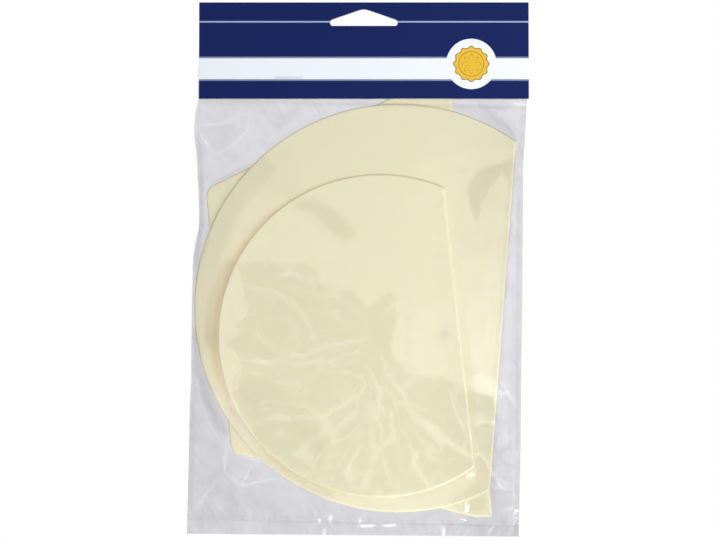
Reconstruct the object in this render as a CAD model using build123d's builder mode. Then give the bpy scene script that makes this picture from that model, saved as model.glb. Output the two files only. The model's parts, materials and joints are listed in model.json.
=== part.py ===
"""Three flexible icing smoothers in a clear bag that hangs from a folded header card.

Millimetres. +Z is up, as the pack hangs, +X is to the right seen from the front, and the front faces -Y.
The origin is where a display peg bears: the middle of the hang slot's upper edge, at the pack's rear plane.
Depths are measured from that rear plane towards the front.
"""

import os
from math import asin, cos, degrees, radians, sin, sqrt, tan

from build123d import *

# Sheets, cut from flexible plastic
sheet_thickness = 0.7
sheet_gap = 0.2  # between neighbours in the stack, and between a sheet and the film
edge_ease = 0.12

small_radius = 77.6
small_cut = 38.3  # centre of the round edge to the straight edge
small_corner = 1.6
small_across = 11.1  # centre of the round edge, right of the bag's middle line
small_below = 36.0  # top of the round edge, below the card
small_turn = 7.4  # degrees, against the bag
curl_rise = 3.5  # how far the round rim stands off the sheet behind

large_radius = 98.1
large_cut = 50.4
large_corner = 1.6
large_across = 19.6
large_below = 2.0
large_turn = -3.1

rear_long = 213.0  # the long straight edge
rear_short = 127.0  # the short straight edge
rear_width = 122.0
rear_square = 8.0  # where the sides run square to the long edge
rear_shoulder = 36.0
rear_corner = 6.0
rear_sharp_corner = 1.2
rear_across = 54.4  # middle of the long edge, right of the bag's middle line
rear_tuck = 12.2  # how far its upper corner reaches in under the card
rear_turn = 6.7

# Clear bag
film_thickness = 0.08
side_seal = 0.6
end_seal = 6.0
wall_lean = 0.32  # the side walls of the filled bag lean in by this much
touch_angle = 50.0  # degrees round the small sheet's rim, where the taut film lies on it
bag_turn = 1.18  # degrees, against the card
bag_shift = -1.0  # middle of the bag at the card's lower edge, against the card's middle
bag_tuck = 30.0  # length of bag inside the card
bag_slant = 1.9  # how much the cut lower edge rises across its width, against the bag
press_length = 7.0  # where the two films come together inside the card
ramp_length = 5.0  # where the rear film steps up over the card's rear panel
ramp_below = 3.0  # lower edge of the card to the end of that ramp

# Play of the sheets in the bag, along its length
rear_down = 3.3
rear_up = 1.4
large_up = 3.4
small_up = 23.0

# Folded header card
card_height = 46.5
card_thickness = 0.35
card_inset = 0.55  # how much narrower than the bag it is, at each side
card_flare = 0.35  # how far its front panel stands off the film at the lower edge
fold_gap = 0.9  # between the panels just under the fold
fold_radius = 0.6

# Hang slot, a flattened triangle
slot_width = 32.4
slot_side = 2.7  # its upright ends, between the lower edge and the slope
slot_slope = 19.2  # degrees
slot_end_radius = 1.2
slot_top_radius = 7.5
slot_margin = 3.5  # slot to the fold

# Staple
wire_thickness = 0.4
wire_width = 0.6
wire_press = 0.15  # how deep the wire is pressed into the card
wire_clearance = 0.03
staple_width = 13.2
staple_clinch = 2.8
staple_bend = 0.55
staple_across = -36.0  # from the card's middle
staple_above = 10.0  # from the card's lower edge

# Depths of the stack, from the rear plane to the front
card_rear = wire_thickness - wire_press
card_inside = card_rear + card_thickness
film_over_card = card_inside + film_thickness
rear_depth = film_over_card + sheet_gap
large_depth = rear_depth + sheet_thickness + sheet_gap
small_depth = large_depth + sheet_thickness + sheet_gap
film_room = sheet_gap + film_thickness
rear_front = rear_depth + sheet_thickness + film_room
large_front = large_depth + sheet_thickness + film_room
small_front = small_depth + sheet_thickness + film_room
curl_front = small_front + curl_rise

# Sheets' places in the bag, from the middle of the card's lower edge
small_place = (small_across, -small_below - small_radius)
large_place = (large_across, -large_below - large_radius)
rear_half = rear_long / 2
rear_place = (rear_across, rear_tuck - rear_half * cos(radians(rear_turn)))


def turned(place, point, turn):
    """The point of a sheet that is turned about its place, in the bag's frame."""
    c, s = cos(radians(turn)), sin(radians(turn))
    return place[0] + point[0] * c - point[1] * s, place[1] + point[0] * s + point[1] * c


def half_chord(radius, cut):
    return sqrt(radius**2 - cut**2)


corners = []
for place, radius, cut, turn in (
    (small_place, small_radius, small_cut, small_turn),
    (large_place, large_radius, large_cut, large_turn),
):
    corners += [turned(place, (cut, side * half_chord(radius, cut)), turn) for side in (-1, 1)]
    corners += [(place[0] - radius, place[1]), (place[0], place[1] - radius)]
for side in (-1, 1):
    corners.append(turned(rear_place, (0, side * rear_half), rear_turn))
    corners.append(turned(rear_place, (-rear_square, side * rear_half), rear_turn))
    corners.append(turned(rear_place, (-rear_width, side * rear_short / 2), rear_turn))

# Bag, sized by the sheets that it holds
bag_half = max(abs(u) for u, v in corners) + film_room + wall_lean + side_seal
lowest = min(v for u, v in corners)
pocket_end = lowest - rear_down - film_room
bag_end = pocket_end - end_seal
small_down = small_place[1] - small_radius - film_room - pocket_end
large_down = large_place[1] - large_radius - film_room - pocket_end

# Card, sized by the bag
card_width = 2 * (bag_half - card_inset)
card_top = slot_margin
card_bottom = card_top - card_height
mouth_lean = card_width / 2 * sin(radians(bag_turn))

# Frames: front view, side view of the card, and the bag's own three
ahead = (0, -1, 0)
bag_right = (cos(radians(bag_turn)), 0, -sin(radians(bag_turn)))
bag_up = (sin(radians(bag_turn)), 0, cos(radians(bag_turn)))
bag_origin = (bag_shift, 0, card_bottom)
card_front_view = Plane.XZ
card_side_view = Plane(origin=(0, 0, 0), x_dir=ahead, z_dir=(-1, 0, 0))
staple_view = Plane(origin=(staple_across, 0, card_bottom + staple_above), x_dir=(1, 0, 0), z_dir=(0, 0, -1))
bag_front_view = Plane(origin=bag_origin, x_dir=bag_right, z_dir=ahead)
bag_side_view = Plane(origin=bag_origin, x_dir=ahead, z_dir=tuple(-n for n in bag_right))
bag_section = Plane(origin=bag_origin, x_dir=bag_right, z_dir=tuple(-n for n in bag_up))
bag_reach = bag_half + abs(bag_end) + bag_tuck


def taut_film(lean):
    """The straight line in which the film lies against the bowed rim of the small sheet, seen from the side.

    It gives how far the line stands off the flat part at the rim's end, and where it reaches the full rise.
    The sheet leans by that many degrees against the bag, which lifts one end of the rim and lowers the other.
    """
    touch, turn = radians(touch_angle), radians(lean)
    rise = cos(touch - turn) ** 2
    slope = sin(2 * (touch - turn)) / cos(touch)
    foot = curl_rise * max(rise - slope * (1 - sin(touch)), 0)
    return foot, small_radius * (sin(touch) - (1 - rise) / slope)


foot_low, ridge_low = taut_film(small_turn)
foot_high, ridge_high = taut_film(-small_turn)


def sheet_view(place, turn, depth):
    """The plane of a sheet's rear face, with x across it and y along its straight edge."""
    origin = bag_front_view.from_local_coords((*place, depth))
    along = bag_front_view.from_local_coords((*turned(place, (1, 0), turn), depth))
    return Plane(origin=origin, x_dir=along - origin, z_dir=ahead)


def d_plate(view, radius, cut, corner, thickness):
    """A plate cut as a disc with one straight edge."""
    half = half_chord(radius, cut)
    with BuildPart() as plate:
        with BuildSketch(view) as outline:
            with BuildLine():
                ThreePointArc((cut, half), (-radius, 0), (cut, -half))
                Line((cut, -half), (cut, half))
            make_face()
            fillet(outline.vertices(), corner)
        extrude(amount=thickness)
    return plate.part


def front_line(inset):
    """The filled bag's front seen from the side: depth and height, from the end seal to the mouth."""
    small_low, small_high = (small_place[1] - small_down, small_place[1] + small_up)
    return [
        (small_front + foot_low - inset, pocket_end + inset),
        (small_front + foot_low - inset, small_low - small_radius),
        (curl_front - inset, small_low - ridge_low),
        (curl_front - inset, small_high + ridge_high),
        (small_front + foot_high - inset, small_high + small_radius),
        (large_front - inset, large_up),
        (rear_front - inset, rear_tuck + rear_up + film_room),
        (film_over_card + film_thickness - inset, rear_tuck + rear_up + film_room + press_length),
    ]


def rear_line(offset):
    """The rear film seen from the side, stepping up over the card's rear panel."""
    ramp_end = -ramp_below
    return [
        (offset, bag_end - bag_slant),
        (offset, ramp_end - ramp_length),
        (card_inside + offset, ramp_end),
        (card_inside + offset, bag_tuck),
    ]


def film_strip(near, far):
    """The space between two offsets of the rear line, cut to the bag's slightly slanted outline."""
    with BuildPart() as strip:
        with BuildSketch(bag_side_view):
            with BuildLine():
                Polyline(*rear_line(near), *reversed(rear_line(far)), close=True)
            make_face()
        extrude(amount=bag_reach, both=True)
        with BuildSketch(bag_front_view):
            with BuildLine():
                Polyline(
                    (-bag_half, bag_end - bag_slant / 2),
                    (bag_half, bag_end + bag_slant / 2),
                    (bag_half, bag_tuck),
                    (-bag_half, bag_tuck),
                    close=True,
                )
            make_face()
        extrude(amount=bag_reach, both=True, mode=Mode.INTERSECT)
    return strip.part


def filled_bag(inset):
    """What the front film spans over the sheets, drawn in by inset: one section cut with one side view."""
    wall = bag_half - side_seal - inset
    rim = small_place[0] - small_radius
    straight = small_place[0] + small_cut + half_chord(small_radius, small_cut) * sin(radians(small_turn))
    with BuildPart() as room:
        with BuildSketch(bag_section):
            with BuildLine():
                Polyline(
                    (-wall, 0),
                    (-wall + wall_lean, large_front - inset),
                    (rim - film_room + inset, curl_front - inset),
                    (straight, small_front + foot_high - inset),
                    (wall - wall_lean - film_room, large_front - inset),
                    (wall, 0),
                    close=True,
                )
            make_face()
        extrude(amount=bag_reach, both=True)
        with BuildSketch(bag_side_view):
            with BuildLine():
                front = front_line(inset)
                Polyline((0, front[0][1]), *front, (0, front[-1][1]), close=True)
            make_face()
        extrude(amount=bag_reach, both=True, mode=Mode.INTERSECT)
    return room.part


def staple_wire(clearance):
    """The staple, or with a clearance the space that it needs: crown, two legs and the clinched ends."""
    left, right = -staple_width / 2, staple_width / 2
    with BuildPart() as wire:
        with BuildSketch(staple_view):
            with BuildLine():
                FilletPolyline(
                    (left + wire_thickness + staple_clinch, 0),
                    (left, 0),
                    (left, crown_front),
                    (right, crown_front),
                    (right, 0),
                    (right - wire_thickness - staple_clinch, 0),
                    radius=staple_bend,
                )
                offset(amount=wire_thickness, side=Side.RIGHT)
            make_face()
            if clearance:
                offset(amount=clearance)
        extrude(amount=wire_width / 2 + clearance, both=True)
    return wire.part


# The card's front panel runs from the fold down to where it clears the filled bag's mouth
mouth_slope = (small_front + foot_high - large_front) / (large_up - small_place[1] - small_up - small_radius)
card_mouth = large_front + mouth_slope * (large_up + mouth_lean) + card_flare
card_fold = card_inside + fold_gap
card_slope = (card_mouth - card_fold) / card_height
crown_height = staple_above - wire_width / 2
crown_rear = card_mouth + card_thickness - card_slope * crown_height - wire_press
crown_front = crown_rear + wire_thickness

staple_room = staple_wire(wire_clearance)
bag_room = filled_bag(film_thickness)

# Folded card over the top of the bag, with the hang slot through both panels
with BuildPart() as header_card:
    with BuildSketch(card_side_view):
        with BuildLine():
            FilletPolyline(
                (card_rear, card_bottom),
                (card_rear, card_top),
                (card_fold + card_thickness, card_top),
                (card_mouth + card_thickness, card_bottom),
                radius=fold_radius,
            )
            offset(amount=card_thickness, side=Side.RIGHT)
        make_face()
    extrude(amount=card_width / 2, both=True)
    with BuildSketch(card_front_view):
        slot_rise = slot_top_radius * (1 / cos(radians(slot_slope)) - 1)
        slot_shoulder = slot_rise - slot_width / 2 * tan(radians(slot_slope))
        slot_foot = slot_shoulder - slot_side
        with BuildLine():
            Polyline(
                (-slot_width / 2, slot_foot),
                (slot_width / 2, slot_foot),
                (slot_width / 2, slot_shoulder),
                (0, slot_rise),
                (-slot_width / 2, slot_shoulder),
                close=True,
            )
        make_face()
        slot_corners = vertices().sort_by(Axis.Y)
        fillet(slot_corners[-1], slot_top_radius)
        slot_ends = vertices().filter_by(lambda v: abs(v.X) > slot_width / 4)
        fillet(slot_ends, slot_end_radius)
    extrude(amount=2 * card_mouth, both=True, mode=Mode.SUBTRACT)
    add(staple_room, mode=Mode.SUBTRACT)
header_card.part.label = "header_card"

# Rear web of the bag
with BuildPart() as bag_back_film:
    add(film_strip(0, film_thickness))
    add(staple_room, mode=Mode.SUBTRACT)
bag_back_film.part.label = "bag_back_film"

# Front web: the sealed border, and the film that rises over the sheets
with BuildPart() as bag_front_film:
    add(filled_bag(0))
    add(film_strip(0, 2 * film_thickness))
    add(bag_room, mode=Mode.SUBTRACT)
    with BuildSketch(bag_side_view):
        with BuildLine():
            behind = rear_line(film_thickness)
            Polyline((-card_inside, behind[0][1]), *behind, (-card_inside, behind[-1][1]), close=True)
        make_face()
    extrude(amount=bag_reach, both=True, mode=Mode.SUBTRACT)
    add(staple_room, mode=Mode.SUBTRACT)
bag_front_film.part.label = "bag_front_film"

# Wire staple through the card and both films
with BuildPart() as staple:
    add(staple_wire(0))
staple.part.label = "staple"

# Small D, flat from its straight edge to its centre line and bowed forward beyond it
bow_radius = (small_radius**2 + curl_rise**2) / (2 * curl_rise)
with BuildPart() as small_smoother:
    small_view = sheet_view(small_place, small_turn, small_depth)
    small_section = Plane(origin=small_view.origin, x_dir=small_view.x_dir, z_dir=-small_view.y_dir)
    with BuildSketch(small_section):
        with BuildLine():
            flat = Line((small_radius, 0), (0, 0))
            JernArc(flat @ 1, flat % 1, bow_radius, -degrees(asin(small_radius / bow_radius)))
            offset(amount=sheet_thickness, side=Side.RIGHT)
        make_face()
    extrude(amount=small_radius, both=True)
    bow_depth = curl_rise + 2 * sheet_thickness
    add(d_plate(small_view, small_radius, small_cut, small_corner, bow_depth), mode=Mode.INTERSECT)
small_smoother.part.label = "small_smoother"

# Large D, flat
with BuildPart() as large_smoother:
    large_view = sheet_view(large_place, large_turn, large_depth)
    add(d_plate(large_view, large_radius, large_cut, large_corner, sheet_thickness))
    chamfer(large_smoother.edges(), edge_ease)
large_smoother.part.label = "large_smoother"

# Rear sheet: a short and a long straight edge, and sides that turn square to the long one
with BuildPart() as rear_smoother:
    with BuildSketch(sheet_view(rear_place, rear_turn, rear_depth)) as rear_outline:
        with BuildLine():
            Polyline(
                (0, -rear_half),
                (0, rear_half),
                (-rear_square, rear_half),
                (-rear_width, rear_short / 2),
                (-rear_width, -rear_short / 2),
                (-rear_square, -rear_half),
                close=True,
            )
        make_face()
        across = rear_outline.vertices().group_by(Axis.X)
        fillet(across[0], rear_corner)
        fillet(across[1], rear_shoulder)
        fillet(across[-1], rear_sharp_corner)
    extrude(amount=sheet_thickness)
    chamfer(rear_smoother.edges().filter_by(GeomType.LINE, reverse=True), edge_ease)
rear_smoother.part.label = "rear_smoother"

os.makedirs("parts", exist_ok=True)
for piece in (
    header_card,
    bag_front_film,
    bag_back_film,
    staple,
    small_smoother,
    large_smoother,
    rear_smoother,
):
    export_step(piece.part, f"parts/{piece.part.label}.step")
    print(piece.part.label, round(piece.part.volume, 1), piece.part.bounding_box())

print("bag", round(2 * bag_half, 2), "wide", round(-bag_end, 2), "below the card; card", round(card_width, 2))
print("play", [round(n, 2) for n in (small_down, small_up, large_down, large_up, rear_down, rear_up)])
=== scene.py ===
"""Icing smoothers in a clear hanging bag: plastic sheets, drawn film, printed card, staple and studio."""

import json
import math

import bmesh
import bpy
import numpy as np
from bpy.props import FloatProperty, FloatVectorProperty, PointerProperty
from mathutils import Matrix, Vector
from mathutils.geometry import delaunay_2d_cdt


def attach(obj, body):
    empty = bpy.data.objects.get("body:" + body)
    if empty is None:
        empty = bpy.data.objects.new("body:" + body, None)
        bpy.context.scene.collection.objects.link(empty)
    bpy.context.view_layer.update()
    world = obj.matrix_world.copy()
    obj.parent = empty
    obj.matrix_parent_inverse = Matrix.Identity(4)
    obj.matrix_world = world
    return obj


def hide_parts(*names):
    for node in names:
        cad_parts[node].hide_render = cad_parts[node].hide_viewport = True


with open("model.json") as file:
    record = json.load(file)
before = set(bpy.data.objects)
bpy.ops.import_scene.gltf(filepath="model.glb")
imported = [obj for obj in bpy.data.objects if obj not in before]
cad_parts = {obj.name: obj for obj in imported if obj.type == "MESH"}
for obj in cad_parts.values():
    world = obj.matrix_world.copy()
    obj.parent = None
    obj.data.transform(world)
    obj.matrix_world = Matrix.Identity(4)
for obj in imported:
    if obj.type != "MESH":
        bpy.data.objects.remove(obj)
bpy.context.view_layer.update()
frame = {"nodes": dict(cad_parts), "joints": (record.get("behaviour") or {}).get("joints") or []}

bl_info = {
    "name": "Icing Smoother Pack",
    "version": (1, 0, 0),
    "blender": (4, 5, 0),
    "location": "View3D > Sidebar > Smoother Pack",
    "description": "Makes the sheets, film and print of a hanging pack of icing smoothers, and its studio",
    "category": "Object",
}

mm = 0.001

# The bag's own frame: u to its right, v up along it and depth towards the front
bag_turn = math.radians(1.18)
bag_origin = np.array([-1.0, 0.0, -43.0]) * mm
bag_right = np.array([math.cos(bag_turn), 0.0, -math.sin(bag_turn)])
bag_up = np.array([math.sin(bag_turn), 0.0, math.cos(bag_turn)])
bag_ahead = np.array([0.0, -1.0, 0.0])

# Creases and zones of the film are laid out on a chart of the front: the pixels of the photograph
chart_size = (716, 540)
chart_unit = 0.48 * mm
chart_zero = (363.9, 9.2)  # where the pack's own origin lies on the chart

# Heights along the bag, up from the card's lower edge
ramp_start, ramp_end = -8 * mm, -3 * mm  # where both films step forward into the card
panel_start = -2.2 * mm  # above this the card's front panel holds the front film
relief_end, relief_gone = -3.0 * mm, 1.0 * mm  # where the film's relief fades out under the card
glare_height = -0.9 * mm  # a painted highlight: a pale line along the film just under the card's edge
# the card's shadow on the film is painted into the film's darkness
shadow_height = -2.6 * mm  # middle of the card's shadow on the film


def length(name, description, default):
    return FloatProperty(name=name, description=description, default=default, unit="LENGTH", precision=5)


def amount(name, description, default):
    return FloatProperty(name=name, description=description, default=default)


def colour(name, description, default):
    return FloatVectorProperty(
        name=name, description=description, default=default, size=3, subtype="COLOR", min=0.0, max=1.0
    )


def offset(name, description, default):
    return FloatVectorProperty(
        name=name, description=description, default=default, size=3, subtype="TRANSLATION"
    )


class SheetSettings(bpy.types.PropertyGroup):
    """Sizes and colours of the three plastic sheets."""

    thickness: length("Thickness", "Thickness of every sheet", 0.7 * mm)
    edge_roll: length("Edge Roll", "How far in from the cut edge the front face rounds over", 1.0 * mm)
    edge_drop: length("Edge Drop", "How much the front face drops at the cut edge", 0.38 * mm)
    back_round: length("Back Round", "Radius of the edge of the rear face", 0.08 * mm)
    mesh_step: length("Mesh Step", "Size of the mesh inside each sheet", 4.0 * mm)

    small_radius: length("Small Radius", "Radius of the small D", 77.6 * mm)
    small_cut: length("Small Cut", "Centre of the small D to its straight edge", 38.3 * mm)
    small_across: length("Small Across", "Centre of the small D, right of the bag's middle", 11.1 * mm)
    small_height: length("Small Height", "Centre of the small D, up from the card's edge", -113.6 * mm)
    small_turn: amount("Small Turn", "Turn of the small D against the bag, in degrees", 7.4)
    small_depth: length("Small Depth", "Rear face of the small D, from the pack's rear plane", 2.68 * mm)
    curl_rise: length("Curl Rise", "How far the round rim of the small D bows forward", 3.5 * mm)

    large_radius: length("Large Radius", "Radius of the large D", 98.1 * mm)
    large_cut: length("Large Cut", "Centre of the large D to its straight edge", 50.4 * mm)
    large_across: length("Large Across", "Centre of the large D, right of the bag's middle", 19.6 * mm)
    large_height: length("Large Height", "Centre of the large D, up from the card's edge", -100.1 * mm)
    large_turn: amount("Large Turn", "Turn of the large D against the bag, in degrees", -3.1)
    large_depth: length("Large Depth", "Rear face of the large D, from the pack's rear plane", 1.78 * mm)
    corner: length("Corner", "Radius of the corners of both D sheets", 1.6 * mm)

    rear_long: length("Rear Long Edge", "Long straight edge of the rear sheet", 213.0 * mm)
    rear_short: length("Rear Short Edge", "Short straight edge of the rear sheet", 127.0 * mm)
    rear_width: length("Rear Width", "Width of the rear sheet between its straight edges", 122.0 * mm)
    rear_square: length("Rear Square", "How far its sides run square to the long edge", 8.0 * mm)
    rear_shoulder: length("Rear Shoulder", "Radius where its sides turn square", 36.0 * mm)
    rear_corner: length("Rear Corner", "Radius of the corners of its short edge", 6.0 * mm)
    rear_sharp: length("Rear Sharp Corner", "Radius of the corners of its long edge", 1.2 * mm)
    rear_across: length("Rear Across", "Middle of its long edge, right of the bag's middle", 54.4 * mm)
    rear_height: length("Rear Height", "Middle of its long edge, up from the card's edge", -93.57 * mm)
    rear_turn: amount("Rear Turn", "Turn of the rear sheet against the bag, in degrees", 6.7)
    rear_depth: length("Rear Depth", "Rear face of the rear sheet, from the pack's rear plane", 0.88 * mm)

    cream: colour("Cream", "Colour of the plastic", (0.875, 0.83, 0.575))
    deep_cream: colour("Deep Cream", "Colour of its faint darker clouds", (0.845, 0.80, 0.54))
    let_through: colour("Let Through", "Light that a sheet lets through", (0.80, 0.72, 0.66))
    # The cut edge takes a pale colour as painted highlight, most where it faces the lower right, and a brown
    # one as painted shade where it turns from the light
    highlight_cream: colour("Cut Cream", "Colour of the cut edge, where light comes out", (0.98, 0.935, 0.64))
    shade_brown: colour("Edge Brown", "Cut edge, where it turns from the light", (0.36, 0.30, 0.20))
    shade_brown_share: amount("Brown Share", "How much of that brown the cut edge takes at most", 0.75)
    scatter: colour("Scatter", "How far red, green and blue light spread in the plastic", (1.0, 0.8, 0.5))


class FilmSettings(bpy.types.PropertyGroup):
    """Sizes and colours of the clear bag."""

    thickness: length("Thickness", "Thickness of each film", 0.08 * mm)
    gap: length("Gap", "Room between the film and the sheets", 0.12 * mm)
    half_width: length("Half Width", "Middle of the bag to its side", 79.7 * mm)
    end: length("End", "Lower end of the bag, from the card's edge", -209.86 * mm)
    tuck: length("Tuck", "How far the bag reaches into the card", 30.0 * mm)
    slant: length("Slant", "How much the lower end rises across the bag", 1.9 * mm)
    weld: length("Side Weld", "Width of the side weld", 0.6 * mm)
    hem: length("Side Hem", "From each side to the fine line beside its weld", 2.1 * mm)
    seal: length("End Seal", "Length of the seal at the lower end", 6.0 * mm)
    step: length("Mesh Step", "Size of the film's mesh", 0.84 * mm)
    fine_step: length("Fine Step", "Size of the film's mesh at the welds and the seal", 0.36 * mm)
    press: length("Press Depth", "Depth where the card's panels hold the film", 0.6 * mm)
    clear: colour("Clear", "What each face of the film lets through", (0.912, 0.910, 0.922))
    dark: colour("Dark", "What each face lets through at its darkest lines", (0.80, 0.80, 0.806))
    haze: colour("Haze", "Colour of the film's faint haze", (0.88, 0.88, 0.885))
    lamp_light: colour("Lamp Light", "Share of the lamps' light that passes a face", (0.985, 0.985, 0.985))


class CardSettings(bpy.types.PropertyGroup):
    """Print and board of the folded card, and its staple. Heights are from the pack's origin."""

    front_top: length("Front at the Top", "Outer face of the front panel, ahead at the fold", 1.85 * mm)
    front_foot: length("Front at the Foot", "Outer face of the front panel, ahead at its foot", 3.736 * mm)
    top: length("Top", "Height of the fold", 3.5 * mm)
    foot: length("Foot", "Height of the lower edge", -43.0 * mm)
    rear: length("Rear", "Outer face of the rear panel, towards the front", 0.25 * mm)
    line_height: length("Line Height", "Middle of the fine line", -5.95 * mm)
    line_width: length("Line Width", "Width of the fine line", 0.85 * mm)
    band_height: length("Band Height", "Middle of the white band", -28.6 * mm)
    band_width: length("Band Width", "Width of the white band", 10.1 * mm)
    border: length("Border", "Width of the slate lines beside the band", 0.8 * mm)
    badge_x: length("Badge Across", "Middle of the round badge, to the right", 51.55 * mm)
    badge_z: length("Badge Height", "Middle of the round badge, up", -26.26 * mm)
    badge_radius: length("Badge Radius", "Radius of the round badge", 12.15 * mm)
    rosette_radius: length("Rosette Radius", "Radius of the gold rosette", 8.1 * mm)
    navy: colour("Navy", "Ground of the print", (0.0074, 0.0163, 0.095))
    line: colour("Line", "Fine line", (0.30, 0.37, 0.58))
    slate: colour("Slate", "Lines beside the band", (0.21, 0.23, 0.36))
    white: colour("White", "Band and badge", (0.78, 0.825, 0.88))
    gold: colour("Gold", "Rosette", (0.75, 0.46, 0.042))
    bronze: colour("Bronze", "Outline and ring of the rosette", (0.17, 0.13, 0.04))
    board: colour("Board", "Unprinted board", (0.72, 0.71, 0.68))
    dark_wire: colour("Dark Wire", "Darker streaks of the staple", (0.50, 0.53, 0.58))
    bright_wire: colour("Bright Wire", "Brighter streaks of the staple", (0.68, 0.71, 0.76))


class StudioSettings(bpy.types.PropertyGroup):
    """Camera, lamps, floor and world."""

    lens: FloatProperty(name="Lens", description="Focal length of the camera", default=100.0, unit="CAMERA")
    floor: length("Floor", "Height of the floor", -0.95)
    floor_radius: length("Floor Radius", "Radius of the floor", 5.0)
    floor_near: length("Floor Near", "How far from its middle the floor shows shadows in full", 0.5)
    floor_fade: length("Floor Fade", "Distance over which those shadows fade out", 0.9)
    floor_shade: amount("Floor Shade", "Share of its own shading that the floor shows the eye", 0.30)
    target_depth: length("Target Depth", "Where the camera aims, ahead of the rear plane", 3.0 * mm)
    key_power: amount("Key Power", "Power of the lamp at the lower right, in watts", 6.4)
    key_size: length("Key Size", "Side of the lamp at the lower right", 0.55)
    key_place: offset("Key Place", "That lamp, from the camera's target", (0.66, -0.64, -0.52))
    glint_power: amount("Glint Power", "Power of the small lamp that makes the glints, in watts", 1.2)
    glint_size: length("Glint Size", "Side of the small lamp that makes the glints", 0.10)
    glint_place: offset("Glint Place", "That lamp, from the camera's target", (0.06, -0.66, -0.60))
    fill_power: amount("Fill Power", "Power of the lamp at the right, in watts", 3.0)
    fill_size: length("Fill Size", "Side of the lamp at the right", 0.50)
    fill_place: offset("Fill Place", "That lamp, from the camera's target", (0.41, -0.66, 0.06))
    back_power: amount("Back Power", "Power of the lamp behind the pack, in watts", 4.8)
    back_size: length("Back Size", "Side of the lamp behind the pack", 0.60)
    back_place: offset("Back Place", "That lamp, from the camera's target", (-0.46, 0.74, 0.10))
    world: amount("World", "Strength of the world's light on the object", 0.36)


# Places and meshes


def bag_point(u, v, depth):
    """Row-frame points, in metres, of places in the bag's own frame."""
    u, v, depth = np.broadcast_arrays(u, v, depth)
    return (
        bag_origin
        + u[..., None] * bag_right
        + v[..., None] * bag_up
        + depth[..., None] * bag_ahead
    )


def from_chart(points):
    """Places in the bag's own frame of points on the chart."""
    points = np.asarray(points, float)
    x = (points[..., 0] - chart_zero[0]) * chart_unit - bag_origin[0]
    z = (chart_zero[1] - points[..., 1]) * chart_unit - bag_origin[2]
    return np.stack([x * bag_right[0] + z * bag_right[2], x * bag_up[0] + z * bag_up[2]], -1)


def new_piece(name, points, faces, body, node):
    """A smooth mesh object that rides on a body and stands for a CAD node."""
    mesh = bpy.data.meshes.new(name)
    mesh.from_pydata([tuple(p) for p in points], [], [tuple(f) for f in faces])
    mesh.update()
    mesh.shade_smooth()
    piece = bpy.data.objects.new(name, mesh)
    bpy.context.scene.collection.objects.link(piece)
    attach(piece, body)
    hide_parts(node)
    return piece


def keep_values(piece, name, values):
    """Stores one number for each point of a piece, for its material."""
    layer = piece.data.attributes.new(name, "FLOAT", "POINT")
    layer.data.foreach_set("value", np.ascontiguousarray(values, dtype=np.float32).ravel())


def arc_points(centre, radius, start, end, count):
    angles = np.linspace(start, end, count)
    return np.stack([centre[0] + radius * np.cos(angles), centre[1] + radius * np.sin(angles)], -1)


def d_outline(radius, cut, corner):
    """The outline of a disc with one straight edge and small corners, counter-clockwise."""
    corner_points, rim_points, side_points = 7, 180, 40
    reach = math.sqrt((radius - corner) ** 2 - (cut - corner) ** 2)
    tangent = math.atan2(reach, cut - corner)
    upper = arc_points((cut - corner, reach), corner, 0, tangent, corner_points)
    rim = arc_points((0, 0), radius, tangent, 2 * math.pi - tangent, rim_points)
    lower = arc_points((cut - corner, -reach), corner, -tangent, 0, corner_points)
    heights = np.linspace(-reach, reach, side_points + 2)[1:-1]
    straight = np.stack([np.full(side_points, cut), heights], -1)
    return np.concatenate([upper[:-1], rim[:-1], lower, straight])


def rounded_outline(corners, radii):
    """A convex outline with its corners rounded, counter-clockwise."""
    arc_count, spacing = 12, 4 * mm
    corners = np.asarray(corners, float)
    arcs = []
    for i, radius in enumerate(radii):
        here = corners[i]
        before = corners[i - 1] - here
        after = corners[(i + 1) % len(corners)] - here
        before, after = before / np.linalg.norm(before), after / np.linalg.norm(after)
        opening = math.acos(np.clip(before @ after, -1, 1))
        middle = (before + after) / np.linalg.norm(before + after)
        centre = here + middle * radius / math.sin(opening / 2)
        first = here + before * radius / math.tan(opening / 2) - centre
        last = here + after * radius / math.tan(opening / 2) - centre
        start = math.atan2(first[1], first[0])
        turn = (math.atan2(last[1], last[0]) - start) % (2 * math.pi)
        arcs.append(arc_points(centre, radius, start, start + turn, arc_count))
    runs = []
    for arc, following in zip(arcs, arcs[1:] + arcs[:1]):
        gap = np.linalg.norm(following[0] - arc[-1])
        share = np.linspace(0, 1, max(int(gap / spacing), 1) + 1)[1:-1, None]
        runs += [arc, arc[-1] + share * (following[0] - arc[-1])]
    return np.concatenate(runs)


def edge_profile(sheets):
    """Inset and height of the rings round a sheet's edge, from its rear face to its front face."""
    quarter = np.linspace(0, math.pi / 2, 6)
    back, roll, drop = sheets.back_round, sheets.edge_roll, sheets.edge_drop
    rear = [(back * (1 - math.sin(a)), back * (1 - math.cos(a))) for a in quarter[::2]]
    foot = sheets.thickness - drop
    front = [(roll * (1 - math.cos(a)), foot + drop * math.sin(a)) for a in quarter]
    inner_share = 1.06
    inner = inner_share * roll
    return [(inner, 0.0), *rear, *front, (inner, sheets.thickness)]


def left_of(runs):
    """Unit vectors to the left of each run, which is inward on a counter-clockwise outline."""
    return np.stack([-runs[:, 1], runs[:, 0]], -1) / np.linalg.norm(runs, axis=1)[:, None]


def sides_of(outline):
    """The run from each point of an outline to the next."""
    return np.roll(outline, -1, 0) - outline


def tangents(outline):
    """The way that an outline runs at each of its points."""
    return np.roll(outline, -1, 0) - np.roll(outline, 1, 0)


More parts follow.
